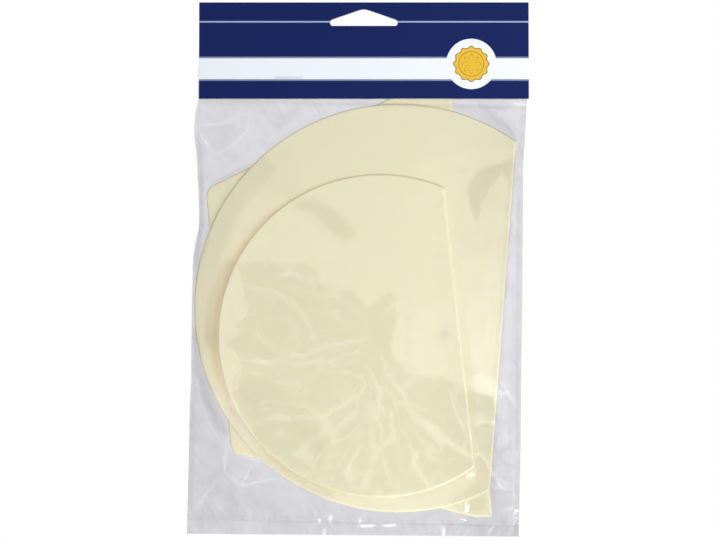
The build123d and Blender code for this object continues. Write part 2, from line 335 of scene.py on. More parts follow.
def grid_inside(outline, step):
    """Grid places inside a convex outline, clear of its sides."""
    clear_share = 0.4
    low, high = outline.min(0), outline.max(0)
    grid_x, grid_y = np.meshgrid(np.arange(low[0], high[0], step), np.arange(low[1], high[1], step))
    grid = np.column_stack([grid_x.ravel(), grid_y.ravel()])
    inward = left_of(sides_of(outline))
    room = ((grid[:, None, :] - outline[None]) * inward[None]).sum(-1).min(1)
    return grid[room > clear_share * step]


def sheet_mesh(outline, profile, step, bow):
    """Points (x, y, height) and faces of a sheet: rings round its edge, and a fine mesh inside them."""
    count = len(outline)
    inward = left_of(tangents(outline))
    rings = [np.column_stack([outline + inset * inward, np.full(count, high)]) for inset, high in profile]
    points, faces = list(np.concatenate(rings)), []
    for ring in range(len(rings) - 1):
        for i in range(count):
            j = (i + 1) % count
            a, b = ring * count, (ring + 1) * count
            faces.append((a + i, a + j, b + j, b + i))
    inside = outline + profile[0][0] * inward
    places = [Vector(p) for p in np.concatenate([inside, grid_inside(inside, step)])]
    border = [(i, (i + 1) % count) for i in range(count)]
    inner_faces, merge_distance = 1, 1e-7
    found, _, triangles, origins, _, _ = delaunay_2d_cdt(places, border, [], inner_faces, merge_distance)
    for first, height, flip in ((0, profile[0][1], True), ((len(rings) - 1) * count, profile[-1][1], False)):
        index = {}
        for k, (point, source) in enumerate(zip(found, origins)):
            source = min(source)
            if source < count:
                index[k] = first + source
            else:
                index[k] = len(points)
                points.append(np.array([point.x, point.y, height]))
        for triangle in triangles:
            corners = [index[k] for k in triangle]
            faces.append(tuple(reversed(corners)) if flip else tuple(corners))
    points = np.array(points)
    points[:, 2] += bow(points[:, 0])
    return points, faces


# Rings round a sheet's edge, numbered from its rear face, with their share of the edge's painted highlight
# and painted shade
painted_highlight_shares = {4: 1.0, 5: 1.0, 6: 1.0, 7: 1.0, 8: 1.0, 9: 1.0}
painted_shade_shares = {3: 1.0, 4: 1.0, 5: 1.0, 6: 0.8, 7: 0.2}
painted_highlight_peak = math.radians(-62)
painted_shade_peak = math.radians(60)
faint_painted_shade_peak = math.radians(140)


def painted_edge_highlight(bearing):
    """Painted highlight: how far the cut edge takes its pale colour, by the way it faces: most at the lower
    right.
    """
    return np.clip(0.40 + 0.60 * np.cos(bearing - painted_highlight_peak), 0, 1)


def painted_edge_shade(bearing):
    """Painted shade: how dark the outermost edge is where it turns from the light: most at the upper right.
    """
    strong = np.clip(1.6 * np.cos(bearing - painted_shade_peak) - 0.6, 0, 1)
    faint = 0.22 * np.clip(1.4 * np.cos(bearing - faint_painted_shade_peak), 0, 1)
    return np.maximum(strong, faint)


def ring_values(outline, turn, count, strength, shares):
    """One number for each point of a sheet: every ring round its edge takes its share of a strength."""
    along = tangents(outline)
    bearing = np.arctan2(-along[:, 0], along[:, 1]) + math.radians(turn)
    values = np.zeros(count)
    for ring, share in shares.items():
        values[ring * len(outline) : (ring + 1) * len(outline)] = share * strength(bearing)
    return values


def lay_sheet(points, place, turn, depth):
    """Row-frame points of a sheet that lies in the bag at a place and turn."""
    c, s = math.cos(math.radians(turn)), math.sin(math.radians(turn))
    u = place[0] + points[:, 0] * c - points[:, 1] * s
    v = place[1] + points[:, 0] * s + points[:, 1] * c
    return bag_point(u, v, depth + points[:, 2])


def curl(sheets):
    """How far the small D stands forward, by its own x: flat up to its centre and bowed beyond."""
    rise, radius = sheets.curl_rise, sheets.small_radius
    bow = (radius**2 + rise**2) / (2 * rise)
    return lambda x: bow - np.sqrt(bow**2 - np.minimum(x, 0) ** 2)


def flat(x):
    return np.zeros_like(x)


def rear_corners(sheets):
    """Corners of the rear sheet before they are rounded, from the foot of its long edge."""
    half_long, half_short = sheets.rear_long / 2, sheets.rear_short / 2
    return [
        (0, -half_long),
        (0, half_long),
        (-sheets.rear_square, half_long),
        (-sheets.rear_width, half_short),
        (-sheets.rear_width, -half_short),
        (-sheets.rear_square, -half_long),
    ]


def sheet_lay(sheets, name):
    """Place in the bag, turn and depth of a sheet."""
    place = (getattr(sheets, name + "_across"), getattr(sheets, name + "_height"))
    return place, getattr(sheets, name + "_turn"), getattr(sheets, name + "_depth")


# Film


def to_sheet(u, v, place, turn):
    """A sheet's own x and y of places in the bag."""
    c, s = math.cos(math.radians(turn)), math.sin(math.radians(turn))
    du, dv = u - place[0], v - place[1]
    return du * c + dv * s, dv * c - du * s


def joint_range(child):
    """Lowest and highest travel of the joint that moves a body, in metres."""
    return next(j["range_m"] for j in frame["joints"] if j["child"] == child)


def d_distance(radius, cut):
    """A function of a place's x and y, for how far out from a D it lies."""
    return lambda x, y: np.maximum(np.hypot(x, y) - radius, x - cut)


def rear_distance(sheets):
    """A function of a place's x and y, for how far out from the rear sheet it lies."""
    corners = np.array(rear_corners(sheets))
    sides = list(zip(-left_of(sides_of(corners)), corners))
    return lambda x, y: np.max([n[0] * (x - c[0]) + n[1] * (y - c[1]) for n, c in sides], axis=0)


def stack_front(sheets, film, u, v):
    """How far forward the sheets reach at each place of the bag, wherever they have slid to.

    It falls off steeply beyond their edges. The second result is the distance out from the nearest sheet.
    """
    skirt_slope, margin, travel_steps = 2.5, 0.9 * mm, 9
    front = np.full(u.shape, -1.0)
    clear = np.full(u.shape, 1.0)
    kinds = (
        ("small", d_distance(sheets.small_radius, sheets.small_cut), curl(sheets)),
        ("large", d_distance(sheets.large_radius, sheets.large_cut), flat),
        ("rear", rear_distance(sheets), flat),
    )
    for name, distance, bow in kinds:
        place, turn, depth = sheet_lay(sheets, name)
        low, high = joint_range(name + "_sheet")
        for slide in np.linspace(low, high, travel_steps):
            x, y = to_sheet(u, v - slide, place, turn)
            out = distance(x, y)
            face = depth + sheets.thickness + film.gap + bow(np.maximum(x, -sheets.small_radius))
            front = np.maximum(front, face - skirt_slope * np.maximum(out - margin, 0))
            clear = np.minimum(clear, out)
    return front, clear


def neighbour_mean(film):
    return (film[:-2, 1:-1] + film[2:, 1:-1] + film[1:-1, :-2] + film[1:-1, 2:]) / 4


def relax(start, low, high, free, rounds=440, calm=40, pull=1.92):
    """A taut film between two bounds: each free point settles at the mean of its neighbours.

    The first rounds pull it past the mean, to settle sooner, and the calm ones don't.
    """
    film = start.copy()
    parity = np.indices(film.shape).sum(0) % 2
    moves = [free[1:-1, 1:-1] & (parity[1:-1, 1:-1] == p) for p in (0, 1)]
    inner = film[1:-1, 1:-1]
    for turn in range(rounds + calm):
        share = pull if turn < rounds else 1.0
        for move in moves:
            aimed = inner + share * (neighbour_mean(film) - inner)
            inner[move] = np.clip(aimed, low[1:-1, 1:-1], high[1:-1, 1:-1])[move]
    return film


def soften(film, low, free, rounds):
    """Rounds off the kinks that the grid leaves, without going under the lower bound."""
    film = film.copy()
    inner, move = film[1:-1, 1:-1], free[1:-1, 1:-1]
    for _ in range(rounds):
        inner[move] = np.maximum(neighbour_mean(film), low[1:-1, 1:-1])[move]
    return film


def smooth_path(points, pieces=6):
    """Points along a smooth line through the given ones."""
    points = np.asarray(points, float)
    padded = np.concatenate([2 * points[:1] - points[1:2], points, 2 * points[-1:] - points[-2:-1]])
    line = []
    for p0, p1, p2, p3 in zip(padded, padded[1:], padded[2:], padded[3:]):
        for t in np.arange(pieces) / pieces:
            line.append(
                0.5 * (2 * p1 + (p2 - p0) * t + (2 * p0 - 5 * p1 + 4 * p2 - p3) * t**2
                       + (3 * p1 - p0 - 3 * p2 + p3) * t**3)
            )
    return np.array(line + [points[-1]])


def line_distance(u, v, line):
    """Distance of each place from a line, and how far along the line the nearest point is, from 0 to 1."""
    best = np.full(u.shape, 1e9)
    along = np.zeros(u.shape)
    steps = np.linalg.norm(np.diff(line, axis=0), axis=1)
    reached = np.concatenate([[0], np.cumsum(steps)])
    for a, b, size, before in zip(line, line[1:], steps, reached):
        du, dv = b - a
        t = np.clip(((u - a[0]) * du + (v - a[1]) * dv) / size**2, 0, 1)
        away = np.hypot(u - a[0] - t * du, v - a[1] - t * dv)
        nearer = away < best
        best = np.where(nearer, away, best)
        along = np.where(nearer, (before + t * size) / reached[-1], along)
    return best, along


def zone_depth(u, v, outline):
    """How deep each place lies inside a closed outline. Outside it is negative."""
    line = smooth_path(np.concatenate([outline, outline[:1]]), 5)
    away, _ = line_distance(u, v, line)
    inside = np.zeros(u.shape, bool)
    for a, b in zip(line, line[1:]):
        crosses = (a[1] > v) != (b[1] > v)
        rise = b[1] - a[1]
        at = a[0] + (v - a[1]) * (b[0] - a[0]) / (rise if rise else 1.0)
        inside ^= crosses & (u < at)
    return np.where(inside, away, -away)


def lattice_noise(u, v, cell, seed):
    """Smooth noise from 0 to 1 on a lattice of the given cell size."""
    size, shift_x, shift_y = 64, 20.0, 60.0
    table = np.random.default_rng(seed).random((size, size))
    x, y = u / cell + shift_x, v / cell + shift_y
    i, j = np.floor(x).astype(int), np.floor(y).astype(int)
    fx, fy = x - i, y - j
    fx, fy = fx * fx * (3 - 2 * fx), fy * fy * (3 - 2 * fy)

    def at(a, b):
        return table[b % size, a % size]

    lower = at(i, j) * (1 - fx) + at(i + 1, j) * fx
    upper = at(i, j + 1) * (1 - fx) + at(i + 1, j + 1) * fx
    return lower * (1 - fy) + upper * fy


def crumple(u, v, cell, seed):
    """Fine folds from 0 to 1, with sharp crests as crumpled film has."""
    bend, bend_cell = 0.6 * cell, 1.7 * cell
    bend_u = u + bend * (lattice_noise(u, v, bend_cell, seed + 1) - 0.5)
    bend_v = v + bend * (lattice_noise(u, v, bend_cell, seed + 2) - 0.5)
    coarse = 1 - np.abs(2 * lattice_noise(bend_u, bend_v, cell, seed) - 1)
    fine = 1 - np.abs(2 * lattice_noise(bend_v, bend_u, 0.55 * cell, seed + 3) - 1)
    return coarse**2 * 0.7 + fine**2 * 0.3


def bell(away, width):
    """1 at no distance, falling off smoothly to almost nothing at twice the width."""
    return np.exp(-((away / width) ** 2))


def tapered(along, start, power):
    """Strength along a drawn line, which fades towards both of its ends."""
    return np.sin(np.pi * np.clip(along, start, 1 - start)) ** power


def step_up(values, start, end):
    """Rises smoothly from 0 at start to 1 at end."""
    t = np.clip((values - start) / (end - start), 0, 1)
    return t * t * (3 - 2 * t)


# Sides of the bag on the chart, from the card down
left_side = [
    (197.6, 98), (197.6, 101.5), (195.5, 110), (193.8, 123), (193.8, 133), (196.5, 159), (198.5, 200),
    (199, 229), (195, 262), (192.4, 300), (192, 333), (191, 379), (189.5, 400), (188.3, 462), (186.2, 538),
]
right_side = [
    (528, 98), (527, 101), (525.6, 136), (523.5, 164), (523.2, 220), (522.8, 300), (521.7, 363),
    (520.9, 446), (519.2, 539),
]

# Zones where the film clings to the plastic, on the chart
cling_zones = [
    [(240, 264), (257, 262), (284, 262), (311, 267), (320, 282), (335, 291), (353, 291), (365, 303),
     (373, 304), (383, 295), (393, 297), (395, 312), (393, 330), (395, 354), (410, 372), (434, 378),
     (452, 387), (473, 447), (477, 466), (440, 490), (380, 501), (300, 481), (250, 428), (236, 400),
     (228, 386), (239, 374), (238, 358), (228, 342), (243, 331), (235, 325), (244, 317), (247, 307),
     (242, 285), (236, 268)],
    [(296, 199), (311, 199), (329, 208), (353, 229), (348, 242), (341, 240), (326, 227), (311, 214),
     (296, 208)],
    [(516, 150), (503, 162), (485, 165), (470, 180), (468, 195), (473, 219), (479, 217), (485, 195),
     (496, 180), (507, 176), (505, 240), (501, 310), (505, 310), (512, 220), (518, 160)],
    [(458, 392), (473, 393), (495, 402), (492, 450), (487, 500), (470, 515), (452, 502), (475, 480),
     (478, 462), (470, 430)],
]

# Channels of air under the film, on the chart: width in chart units, share of the full height, places
air_channels = [
    (2.2, 0.7, [(242, 283), (269, 291), (290, 300), (305, 318), (314, 336), (316, 350)]),
    (2.0, 0.6, [(281, 284), (293, 276), (311, 282), (317, 297), (341, 297)]),
    (3.2, 0.9, [(228, 351), (240, 358), (257, 362), (284, 359), (314, 351), (347, 342), (370, 338)]),
    (2.4, 0.7, [(257, 364), (305, 363), (341, 358), (366, 347)]),
    (2.6, 0.8, [(240, 424), (275, 417), (305, 417), (323, 415), (341, 405), (359, 393), (362, 376),
                (336, 369)]),
    (2.6, 0.9, [(365, 366), (377, 381), (380, 402), (383, 416)]),
    (2.0, 0.8, [(383, 356), (392, 378), (407, 400)]),
    (3.4, 0.9, [(389, 409), (392, 435), (377, 452), (366, 484)]),
    (2.6, 0.9, [(380, 421), (383, 459), (392, 486)]),
    (5.2, 1.0, [(402, 404), (425, 426), (452, 445), (474, 457)]),
    (3.6, 1.0, [(410, 445), (420, 470), (434, 492)]),
    (2.8, 0.8, [(311, 440), (329, 433), (353, 414), (360, 393)]),
    (5.0, 0.8, [(298, 446), (306, 456), (314, 468)]),
    (2.2, 0.7, [(262, 466), (284, 455), (306, 443)]),
    (2.4, 0.6, [(329, 446), (338, 440), (348, 436)]),
    (2.0, 0.7, [(216, 399), (239, 384), (242, 368)]),
    (1.8, 0.6, [(290, 284), (300, 290), (305, 300)]),
    (3.0, 0.6, [(335, 312), (344, 324)]),
    (1.8, 0.5, [(350, 300), (358, 312), (362, 326)]),
    (1.6, 0.8, [(265, 268), (278, 264), (293, 268)]),
    (2.6, 0.9, [(276, 275), (288, 272), (298, 279)]),
    (1.5, 0.7, [(254, 290), (272, 300), (284, 310)]),
    (1.5, 0.8, [(284, 318), (296, 330), (300, 345)]),
    (1.8, 0.8, [(259, 330), (263, 340), (272, 345)]),
    (3.0, 0.8, [(330, 312), (338, 318), (343, 325)]),
    (1.6, 0.7, [(226, 372), (248, 372), (268, 374)]),
    (1.6, 0.6, [(250, 402), (275, 400), (298, 402)]),
    (1.4, 0.6, [(246, 409), (270, 408), (290, 410)]),
    (2.0, 0.7, [(330, 388), (340, 394), (345, 402)]),
    (1.8, 0.8, [(300, 480), (312, 468), (322, 452)]),
    (1.6, 0.7, [(318, 486), (328, 470), (338, 462)]),
    (1.6, 0.8, [(338, 470), (346, 452), (356, 436)]),
    (2.4, 0.9, [(348, 484), (352, 462), (362, 446)]),
    (1.5, 0.7, [(373, 394), (370, 412), (372, 430)]),
    (1.5, 0.7, [(396, 438), (400, 462), (404, 486)]),
    (1.6, 0.7, [(398, 392), (412, 404), (430, 412)]),
    (1.4, 0.6, [(420, 420), (440, 428), (458, 440)]),
    (1.4, 0.6, [(404, 420), (420, 440), (440, 456)]),
    (2.2, 0.8, [(436, 470), (444, 480), (448, 492)]),
]

# Pale patches of haze where the film stands off, on the chart: strength, outline. The first is a painted
# highlight.
pale_zones = [
    (0.055, [(456, 379), (466, 376), (482, 375), (493, 378), (502, 388), (503, 399), (490, 396),
             (472, 391)]),
    (0.008, [(396, 372), (391, 350), (394, 320), (404, 308), (425, 304), (446, 309), (456, 330), (454, 360),
             (440, 376), (418, 380)]),
]

# Fold bands that run pale over the edges of the sheets, on the chart: strength, outline. The first and
# fourth also pale the shadow beside the small D's lower-left rim, as painted light.
pale_bands = [
    (0.065, [(206, 398), (214, 393), (228, 408), (242, 421), (252, 434), (260, 444), (254, 451), (238, 438),
            (220, 414)]),
    (0.018, [(398, 366), (393, 340), (398, 316), (412, 304), (440, 298), (470, 298), (486, 312), (486, 345),
             (476, 370), (455, 380), (425, 382), (408, 378)]),
    (0.030, [(456, 272), (460, 264), (474, 258), (490, 256), (503, 262), (500, 300), (496, 350), (490, 372),
             (474, 374), (464, 340)]),
    (0.035, [(219, 372), (229, 366), (240, 380), (232, 392), (224, 396), (214, 388)]),
    (0.015, [(217, 284), (226, 268), (236, 270), (240, 288), (243, 306), (228, 326), (220, 340),
             (215, 330)]),
]

fan_hub = (378, 352)  # where the channels of the lower fan meet, on the chart

# Patches of painted shade on the film, on the chart: mostly shadows beside the sheets' rims and darkening
# where the lamps light the pack too brightly; strength, outline
painted_shade_zones = [
    (0.15, [(198, 130), (206, 127), (216, 126), (231, 122), (246, 114), (244, 127), (236, 137), (225, 147),
            (215, 151), (206, 140)]),
    (0.75, [(192, 330), (196, 330), (202, 362), (212, 392), (224, 416), (228, 434), (220, 430), (206, 402),
            (196, 372)]),
    (0.12, [(420, 100), (470, 103), (515, 110), (520, 140), (518, 160), (505, 140), (480, 118), (450, 108)]),
    (0.12, [(196, 170), (204, 190), (200, 230), (197, 260), (193, 300), (190, 300), (194, 240)]),
    (0.08, [(209, 184), (230, 174), (250, 164), (234, 184), (216, 212), (205, 240)]),
    (0.26, [(196, 262), (214, 214), (238, 180), (262, 156), (276, 170), (258, 190), (240, 214), (228, 240),
            (218, 270), (211, 300), (209, 336), (206, 352), (200, 354), (196, 340), (193, 310)]),
    (0.08, [(240, 176), (270, 146), (310, 122), (350, 110), (395, 106), (440, 110), (490, 130), (510, 144),
            (508, 152), (470, 150), (430, 160), (400, 172), (360, 176), (320, 186), (290, 196), (260, 196)]),
    (0.38, [(236, 262), (222, 300), (218, 332), (216, 348), (211, 350), (206, 344), (205, 330),
            (210, 298), (224, 262)]),
    (0.16, [(219, 330), (220, 352), (226, 378), (232, 396), (226, 394), (216, 374), (209, 354), (208, 330)]),
    (0.30, [(223, 406), (231, 425), (251, 450), (273, 470), (305, 490), (330, 498), (331, 491), (290, 470),
            (266, 450), (246, 427), (236, 408)]),
    (0.14, [(240, 384), (262, 380), (300, 404), (326, 432), (318, 468), (280, 458), (252, 428)]),
    (0.20, [(190, 436), (214, 440), (222, 452), (230, 470), (238, 500), (234, 520), (187, 520)]),
    (0.10, [(470, 400), (500, 404), (497, 450), (492, 500), (494, 516), (470, 514), (476, 480), (478, 440)]),
    (0.25, [(513, 170), (520, 168), (519, 240), (518, 330), (516, 430), (509, 430), (511, 330), (513, 240)]),
]

# Patches with a crisp edge where the film is darker, on the chart: strength, outline
shade_patches = [
    (0.10, [(515, 161), (506, 164), (500, 161.6), (488, 164), (478, 169.5), (470.5, 181), (467.4, 195),
            (470.5, 214), (474, 220), (479, 219), (481.5, 205), (485.4, 195), (494, 183), (500, 178),
            (510, 176.5), (514, 178)]),
    (0.05, [(284, 190), (300, 192), (316, 196), (332, 206), (346, 218), (354, 232), (350, 241), (342, 241),
            (328, 228), (314, 214), (300, 204), (286, 198)]),
]

# Creases of the film, on the chart: height in millimetres, width in chart units, places
creases = [
    (0.38, 3.0, [(193, 126), (203, 139), (215, 155)]),
    (0.34, 3.0, [(213, 156), (226, 149), (239, 138), (247, 129), (250, 108)]),
    (0.32, 3.0, [(196, 125), (215, 124), (230, 120), (248, 112)]),
    (0.35, 2.4, [(255, 158), (270, 138), (292, 120), (318, 109), (340, 103)]),
    (0.30, 1.6, [(213, 152), (213, 162), (216, 172)]),
    (0.30, 1.4, [(209, 150), (208, 160), (210, 170)]),
    (0.55, 2.4, [(195, 384), (207, 416), (225, 449)]),
    (0.50, 1.6, [(225, 447), (224, 460), (224, 473)]),
    (0.28, 2.6, [(224, 472), (206, 494), (191, 516)]),
    (0.45, 1.8, [(224, 471), (242, 484), (258, 481), (276, 478)]),
    (0.35, 1.6, [(243, 483), (247, 474), (252, 464)]),
    (0.25, 2.0, [(196, 417), (204, 440), (206, 462)]),
    (0.08, 1.8, [(475, 446), (481, 457), (489, 466), (498, 483), (516, 505)]),
    (0.14, 3.2, [(499, 378), (506, 392), (512, 403)]),
    (0.14, 1.9, [(448, 384), (453, 405), (463, 428), (472, 446)]),
    (0.30, 2.4, [(500, 112), (510, 125), (522, 150)]),
    (0.25, 2.0, [(476, 104), (492, 110), (512, 113)]),
    (0.30, 1.4, [(385, 378), (395, 386), (408, 400)]),
]

# Pale stress lines of the film, with painted glints and painted highlights, on the chart: strength, width in
# chart units, places
stress_lines_and_painted_glints = [
    (0.26, 1.9, [(193, 127), (203, 139), (216, 156)]),
    (0.20, 2.0, [(214, 156), (226, 149), (239, 138), (247, 129), (249, 110)]),
    (0.26, 1.8, [(198, 125), (215, 124), (230, 120), (247, 112)]),
    (0.16, 2.4, [(236, 121), (240, 124), (238, 129)]),
    (0.15, 1.0, [(212, 153), (212, 162), (215, 172)]),
    (0.30, 1.6, [(195, 385), (207, 418), (225, 449)]),
    (0.34, 1.1, [(225, 447), (224, 460), (225, 473)]),
    (0.20, 1.7, [(225, 472), (206, 494), (191, 516)]),
    (0.30, 1.2, [(224, 471), (242, 484), (258, 481), (277, 478)]),
    (0.30, 1.1, [(243, 483), (247, 474), (252, 464)]),
    (0.17, 1.2, [(477, 448), (489, 466), (498, 483), (519, 509)]),
    # painted highlight along the rear sheet's lower edge
    (0.30, 0.9, [(232, 448), (236, 453.4), (247, 456.8), (259.7, 460), (268, 464.4), (280, 472.8)]),
    # painted light that pales the shadow beside the small D's lower-left rim
    (0.20, 4.2, [(223, 376), (231, 400), (241, 422), (255, 443), (270, 459)]),
    (0.12, 1.6, [(244, 471), (253, 468), (262, 466)]),
    (0.16, 2.6, [(499, 378), (508, 394), (520, 412)]),
    (0.15, 1.3, [(448, 384), (453, 405), (463, 428), (472, 446)]),
    (0.10, 2.6, [(500, 425), (508, 440), (520, 452)]),
    (0.10, 2.2, [(496, 470), (505, 485), (512, 500)]),
    # painted glints on the end seal and the lower film
    (0.85, 1.3, [(359, 526.2), (367, 526.8), (375, 526.2)]),
    (0.80, 1.2, [(383, 526.0), (389, 526.6), (396, 525.8)]),
    (0.80, 1.2, [(443, 527), (443.6, 532), (443.4, 538)]),
    (0.75, 1.3, [(465.6, 503), (466.6, 507), (466.4, 512)]),
    (0.70, 1.2, [(466.5, 478), (469, 474.8), (473.5, 474.6)]),
    (0.60, 1.0, [(358.8, 517.5), (359.8, 520), (359.4, 523)]),
    (0.85, 1.4, [(329.6, 514.5), (330.4, 518), (330, 523)]),
    (0.85, 1.4, [(318.8, 518.5), (319.4, 521), (319, 523.5)]),
    (0.60, 1.2, [(324.4, 529), (324, 533), (324.6, 537)]),
    (0.60, 0.9, [(515, 511.2), (517.4, 511.6), (519.6, 511.2)]),
    (0.22, 1.4, [(463, 527), (459, 532), (457, 537)]),
    (0.20, 1.2, [(470, 527), (468, 532), (464, 537)]),
    (0.26, 1.6, [(495, 526.5), (490, 532), (487, 537)]),
    (0.20, 1.2, [(502, 527), (500, 532), (499, 537)]),
    (0.20, 1.3, [(514, 527), (511, 532), (508, 537)]),
    (0.16, 1.3, [(424, 528), (422, 532), (421, 537)]),
    (0.14, 1.2, [(409, 528), (408, 532), (408, 537)]),
    (0.14, 1.2, [(346, 528), (345, 532), (346, 537)]),
    (0.12, 1.4, [(282, 528), (281, 532), (282, 537)]),
    (0.12, 1.4, [(243, 527), (241, 532), (242, 537)]),
]

# Fine pale outlines where the film leaves the plastic, on the chart: strength, width in chart units, places
wet_edges = [
    (0.06, 0.9, [(236, 266), (241, 284), (247, 306), (244, 317), (234, 325), (243, 331)]),
    (0.06, 0.9, [(228, 342), (238, 357), (240, 374), (228, 387), (216, 400)]),
    (0.05, 0.9, [(244, 284), (262, 288), (284, 296), (298, 308), (309, 320), (313, 342)]),
    (0.05, 0.8, [(273, 284), (282, 277), (290, 272), (306, 274), (318, 284), (330, 292), (352, 299)]),
    (0.05, 0.9, [(330, 343), (344, 345), (358, 341), (366, 352), (352, 360), (338, 370)]),
    (0.05, 0.8, [(268, 420), (296, 417), (322, 416), (340, 408), (352, 396), (357, 380), (350, 370)]),
    (0.05, 0.8, [(384, 372), (392, 386), (402, 396), (409, 404)]),
    (0.05, 0.8, [(363, 382), (375, 392), (379, 410), (376, 426)]),
    (0.06, 0.8, [(357, 440), (352, 456), (356, 472), (350, 486)]),
    (0.06, 0.8, [(398, 452), (394, 438), (404, 432), (410, 446), (414, 470), (426, 490)]),
    (0.05, 0.8, [(362, 420), (352, 432), (340, 440), (326, 446), (318, 458)]),
    (0.05, 0.8, [(406, 412), (424, 428), (446, 440), (470, 452)]),
]

# Painted shade on the film, on the chart: shadows along the sheets' edges and in folds and dimples;
# darkness, width in chart units, places
painted_shade_lines = [
    (0.35, 4.0, [(201, 392), (211, 420), (224, 446)]),
    (0.30, 3.2, [(198, 134), (200, 160), (201, 200), (200, 235), (196, 280)]),
    (0.45, 1.4, [(211, 184), (230, 174), (250, 164)]),
    (0.25, 3.5, [(478, 104), (496, 118), (516, 137)]),
    (0.30, 3.0, [(495, 425), (493, 470), (494, 515)]),
    (0.12, 3.4, [(251, 163), (238, 178), (223, 198), (211, 220), (204, 240)]),
    (0.40, 1.3, [(209, 234), (203, 262), (203, 262)]),
    (0.45, 1.2, [(221, 408), (236, 432), (252, 452), (262, 463)]),
    (0.30, 1.2, [(226, 396), (240, 420), (254, 438)]),
    (0.50, 5.0, [(443, 331), (444, 334), (444, 338)]),
    (0.30, 1.6, [(459, 170), (462, 171.5), (465, 171)]),
    (0.22, 2.0, [(434, 207), (440, 204), (445, 199)]),
    (0.20, 1.4, [(427, 258), (436, 256), (446, 258)]),
    (0.26, 1.1, [(404, 314), (409, 318), (405, 322)]),
    (0.26, 1.1, [(405, 325), (410, 329), (406, 333)]),
    (0.26, 1.1, [(405, 337), (410, 341), (406, 345)]),
    (0.26, 1.1, [(406, 349), (410, 353), (407, 357)]),
    (0.20, 1.0, [(396, 361), (404, 366), (414, 367)]),
]

# Dimples that catch the lamp, on the chart: height in millimetres, width, length and lean, and place
dimples = [
    (0.50, 1.6, 7.5, 0.0, (367.5, 526.5)),
    (0.45, 1.5, 6.0, 0.0, (389.5, 526.3)),
    (0.35, 1.4, 3.0, 90.0, (359.6, 520)),
    (0.40, 1.4, 4.0, 80.0, (330, 518.5)),
    (0.35, 1.3, 2.5, 90.0, (319, 521)),
    (0.35, 1.3, 4.0, 80.0, (324, 533)),
    (0.50, 1.5, 5.5, 100.0, (443.6, 532.5)),
    (0.50, 1.7, 4.5, 75.0, (466.5, 508)),
    (0.50, 2.2, 3.6, 60.0, (470, 476)),
    (0.40, 1.3, 2.5, 0.0, (517.4, 511.4)),
    (0.30, 1.6, 2.2, 0.0, (236, 127)),
]


def side_insets(film, rows):
    """Left and right sides of the bag at each row, in its own frame, kept outside the sliding sheets."""
    widest, tight, loose = -100 * mm, 16 * mm, 42 * mm  # the large sheet holds the left side out there
    sides = []
    for layout, sign in ((left_side, -1), (right_side, 1)):
        line = from_chart(layout)
        order = np.argsort(line[:, 1])
        drawn = np.interp(rows, line[order, 1], line[order, 0])
        held = step_up(np.abs(rows - widest), tight, loose) if sign < 0 else 1.0
        sides.append(sign * film.half_width + (drawn - sign * film.half_width) * held)
    return sides


def spaced(stops):
    """Places from the first stop to the last, at the step that each stop sets for what follows it."""
    runs = []
    for (start, step), (end, _) in zip(stops, stops[1:]):
        runs.append(np.linspace(start, end, max(round((end - start) / step), 1) + 1)[:-1])
    return np.concatenate([*runs, [stops[-1][0]]])


def film_grid(film):
    """Places of the film's mesh points in the bag's own frame, by row and column."""
    past_seal, past_hem, slant_reach = 2.5 * mm, 1.2 * mm, 40 * mm
    width, fine = 2 * film.half_width, film.fine_step
    seal, side = film.seal + past_seal, film.hem + past_hem
    rows = spaced([(film.end, fine), (film.end + seal, film.step), (film.tuck, film.step)])
    columns = spaced([(0, fine), (side, film.step), (width - side, fine), (width, fine)])
    left, right = side_insets(film, rows)
    share = columns / width
    u = left[:, None] + (right - left)[:, None] * share[None]
    slant = film.slant * (u / width)
    low = 1 - step_up(rows, film.end, film.end + slant_reach)
    return u, rows[:, None] + slant * low[:, None]


def from_sides(u):
    """Distance of each place of the film from the nearer side of the bag."""
    return np.minimum(u - u[:, :1], u[:, -1:] - u)


def sealed_share(film, v):
    """How much of a place is sealed: 1 in the end seal and 0 above it."""
    top = film.end + film.seal
    return 1 - step_up(v, top - 0.6 * mm, top + 0.5 * mm)


def seal_ripple(film, u, v):
    """Small upright ripples of the end seal, in metres, strongest in its right half."""
    height, least, reach = 0.28 * mm, 0.35, 7 * mm
    strongest, spread = 62 * mm, 17 * mm
    top = film.end + film.seal
    near = 1 - step_up(v, top, top + reach)
    strong = least + (1 - least) * bell(u - strongest, spread)
    waves = crumple(u, v * 0.22, cell=3.4 * mm, seed=31) + 0.6 * crumple(u, v * 0.3, cell=1.9 * mm, seed=47)
    return height * waves * strong * (least + (1 - least) * near) * near


def add_creases(u, v, relief):
    """Adds the drawn creases and dimples to the film's relief."""
    for height, width, places in creases:
        away, along = line_distance(u, v, smooth_path(from_chart(places)))
        ends = tapered(along, start=0.06, power=0.6)
        relief = relief + height * mm * ends * bell(away, width * chart_unit)
    for height, width, span, lean, place in dimples:
        centre = from_chart(place)
        c, s = math.cos(math.radians(lean)), math.sin(math.radians(lean))
        du, dv = (u - centre[0]) / chart_unit, (v - centre[1]) / chart_unit
        a, b = du * c + dv * s, dv * c - du * s
        relief = relief + height * mm * np.exp(-((a / span) ** 2) - (b / width) ** 2)
    return relief


def bent_places(u, v):
    """Places shifted a little by noise, so that what is drawn comes out uneven."""
    bent_u, bent_v = u, v
    for reach, cell, seed in ((2.4 * mm, 5 * mm, 3), (1.5 * mm, 2 * mm, 5)):
        bent_u = bent_u + reach * (lattice_noise(u, v, cell, seed) - 0.5)
        bent_v = bent_v + reach * (lattice_noise(u, v, cell, seed + 1) - 0.5)
    return bent_u, bent_v


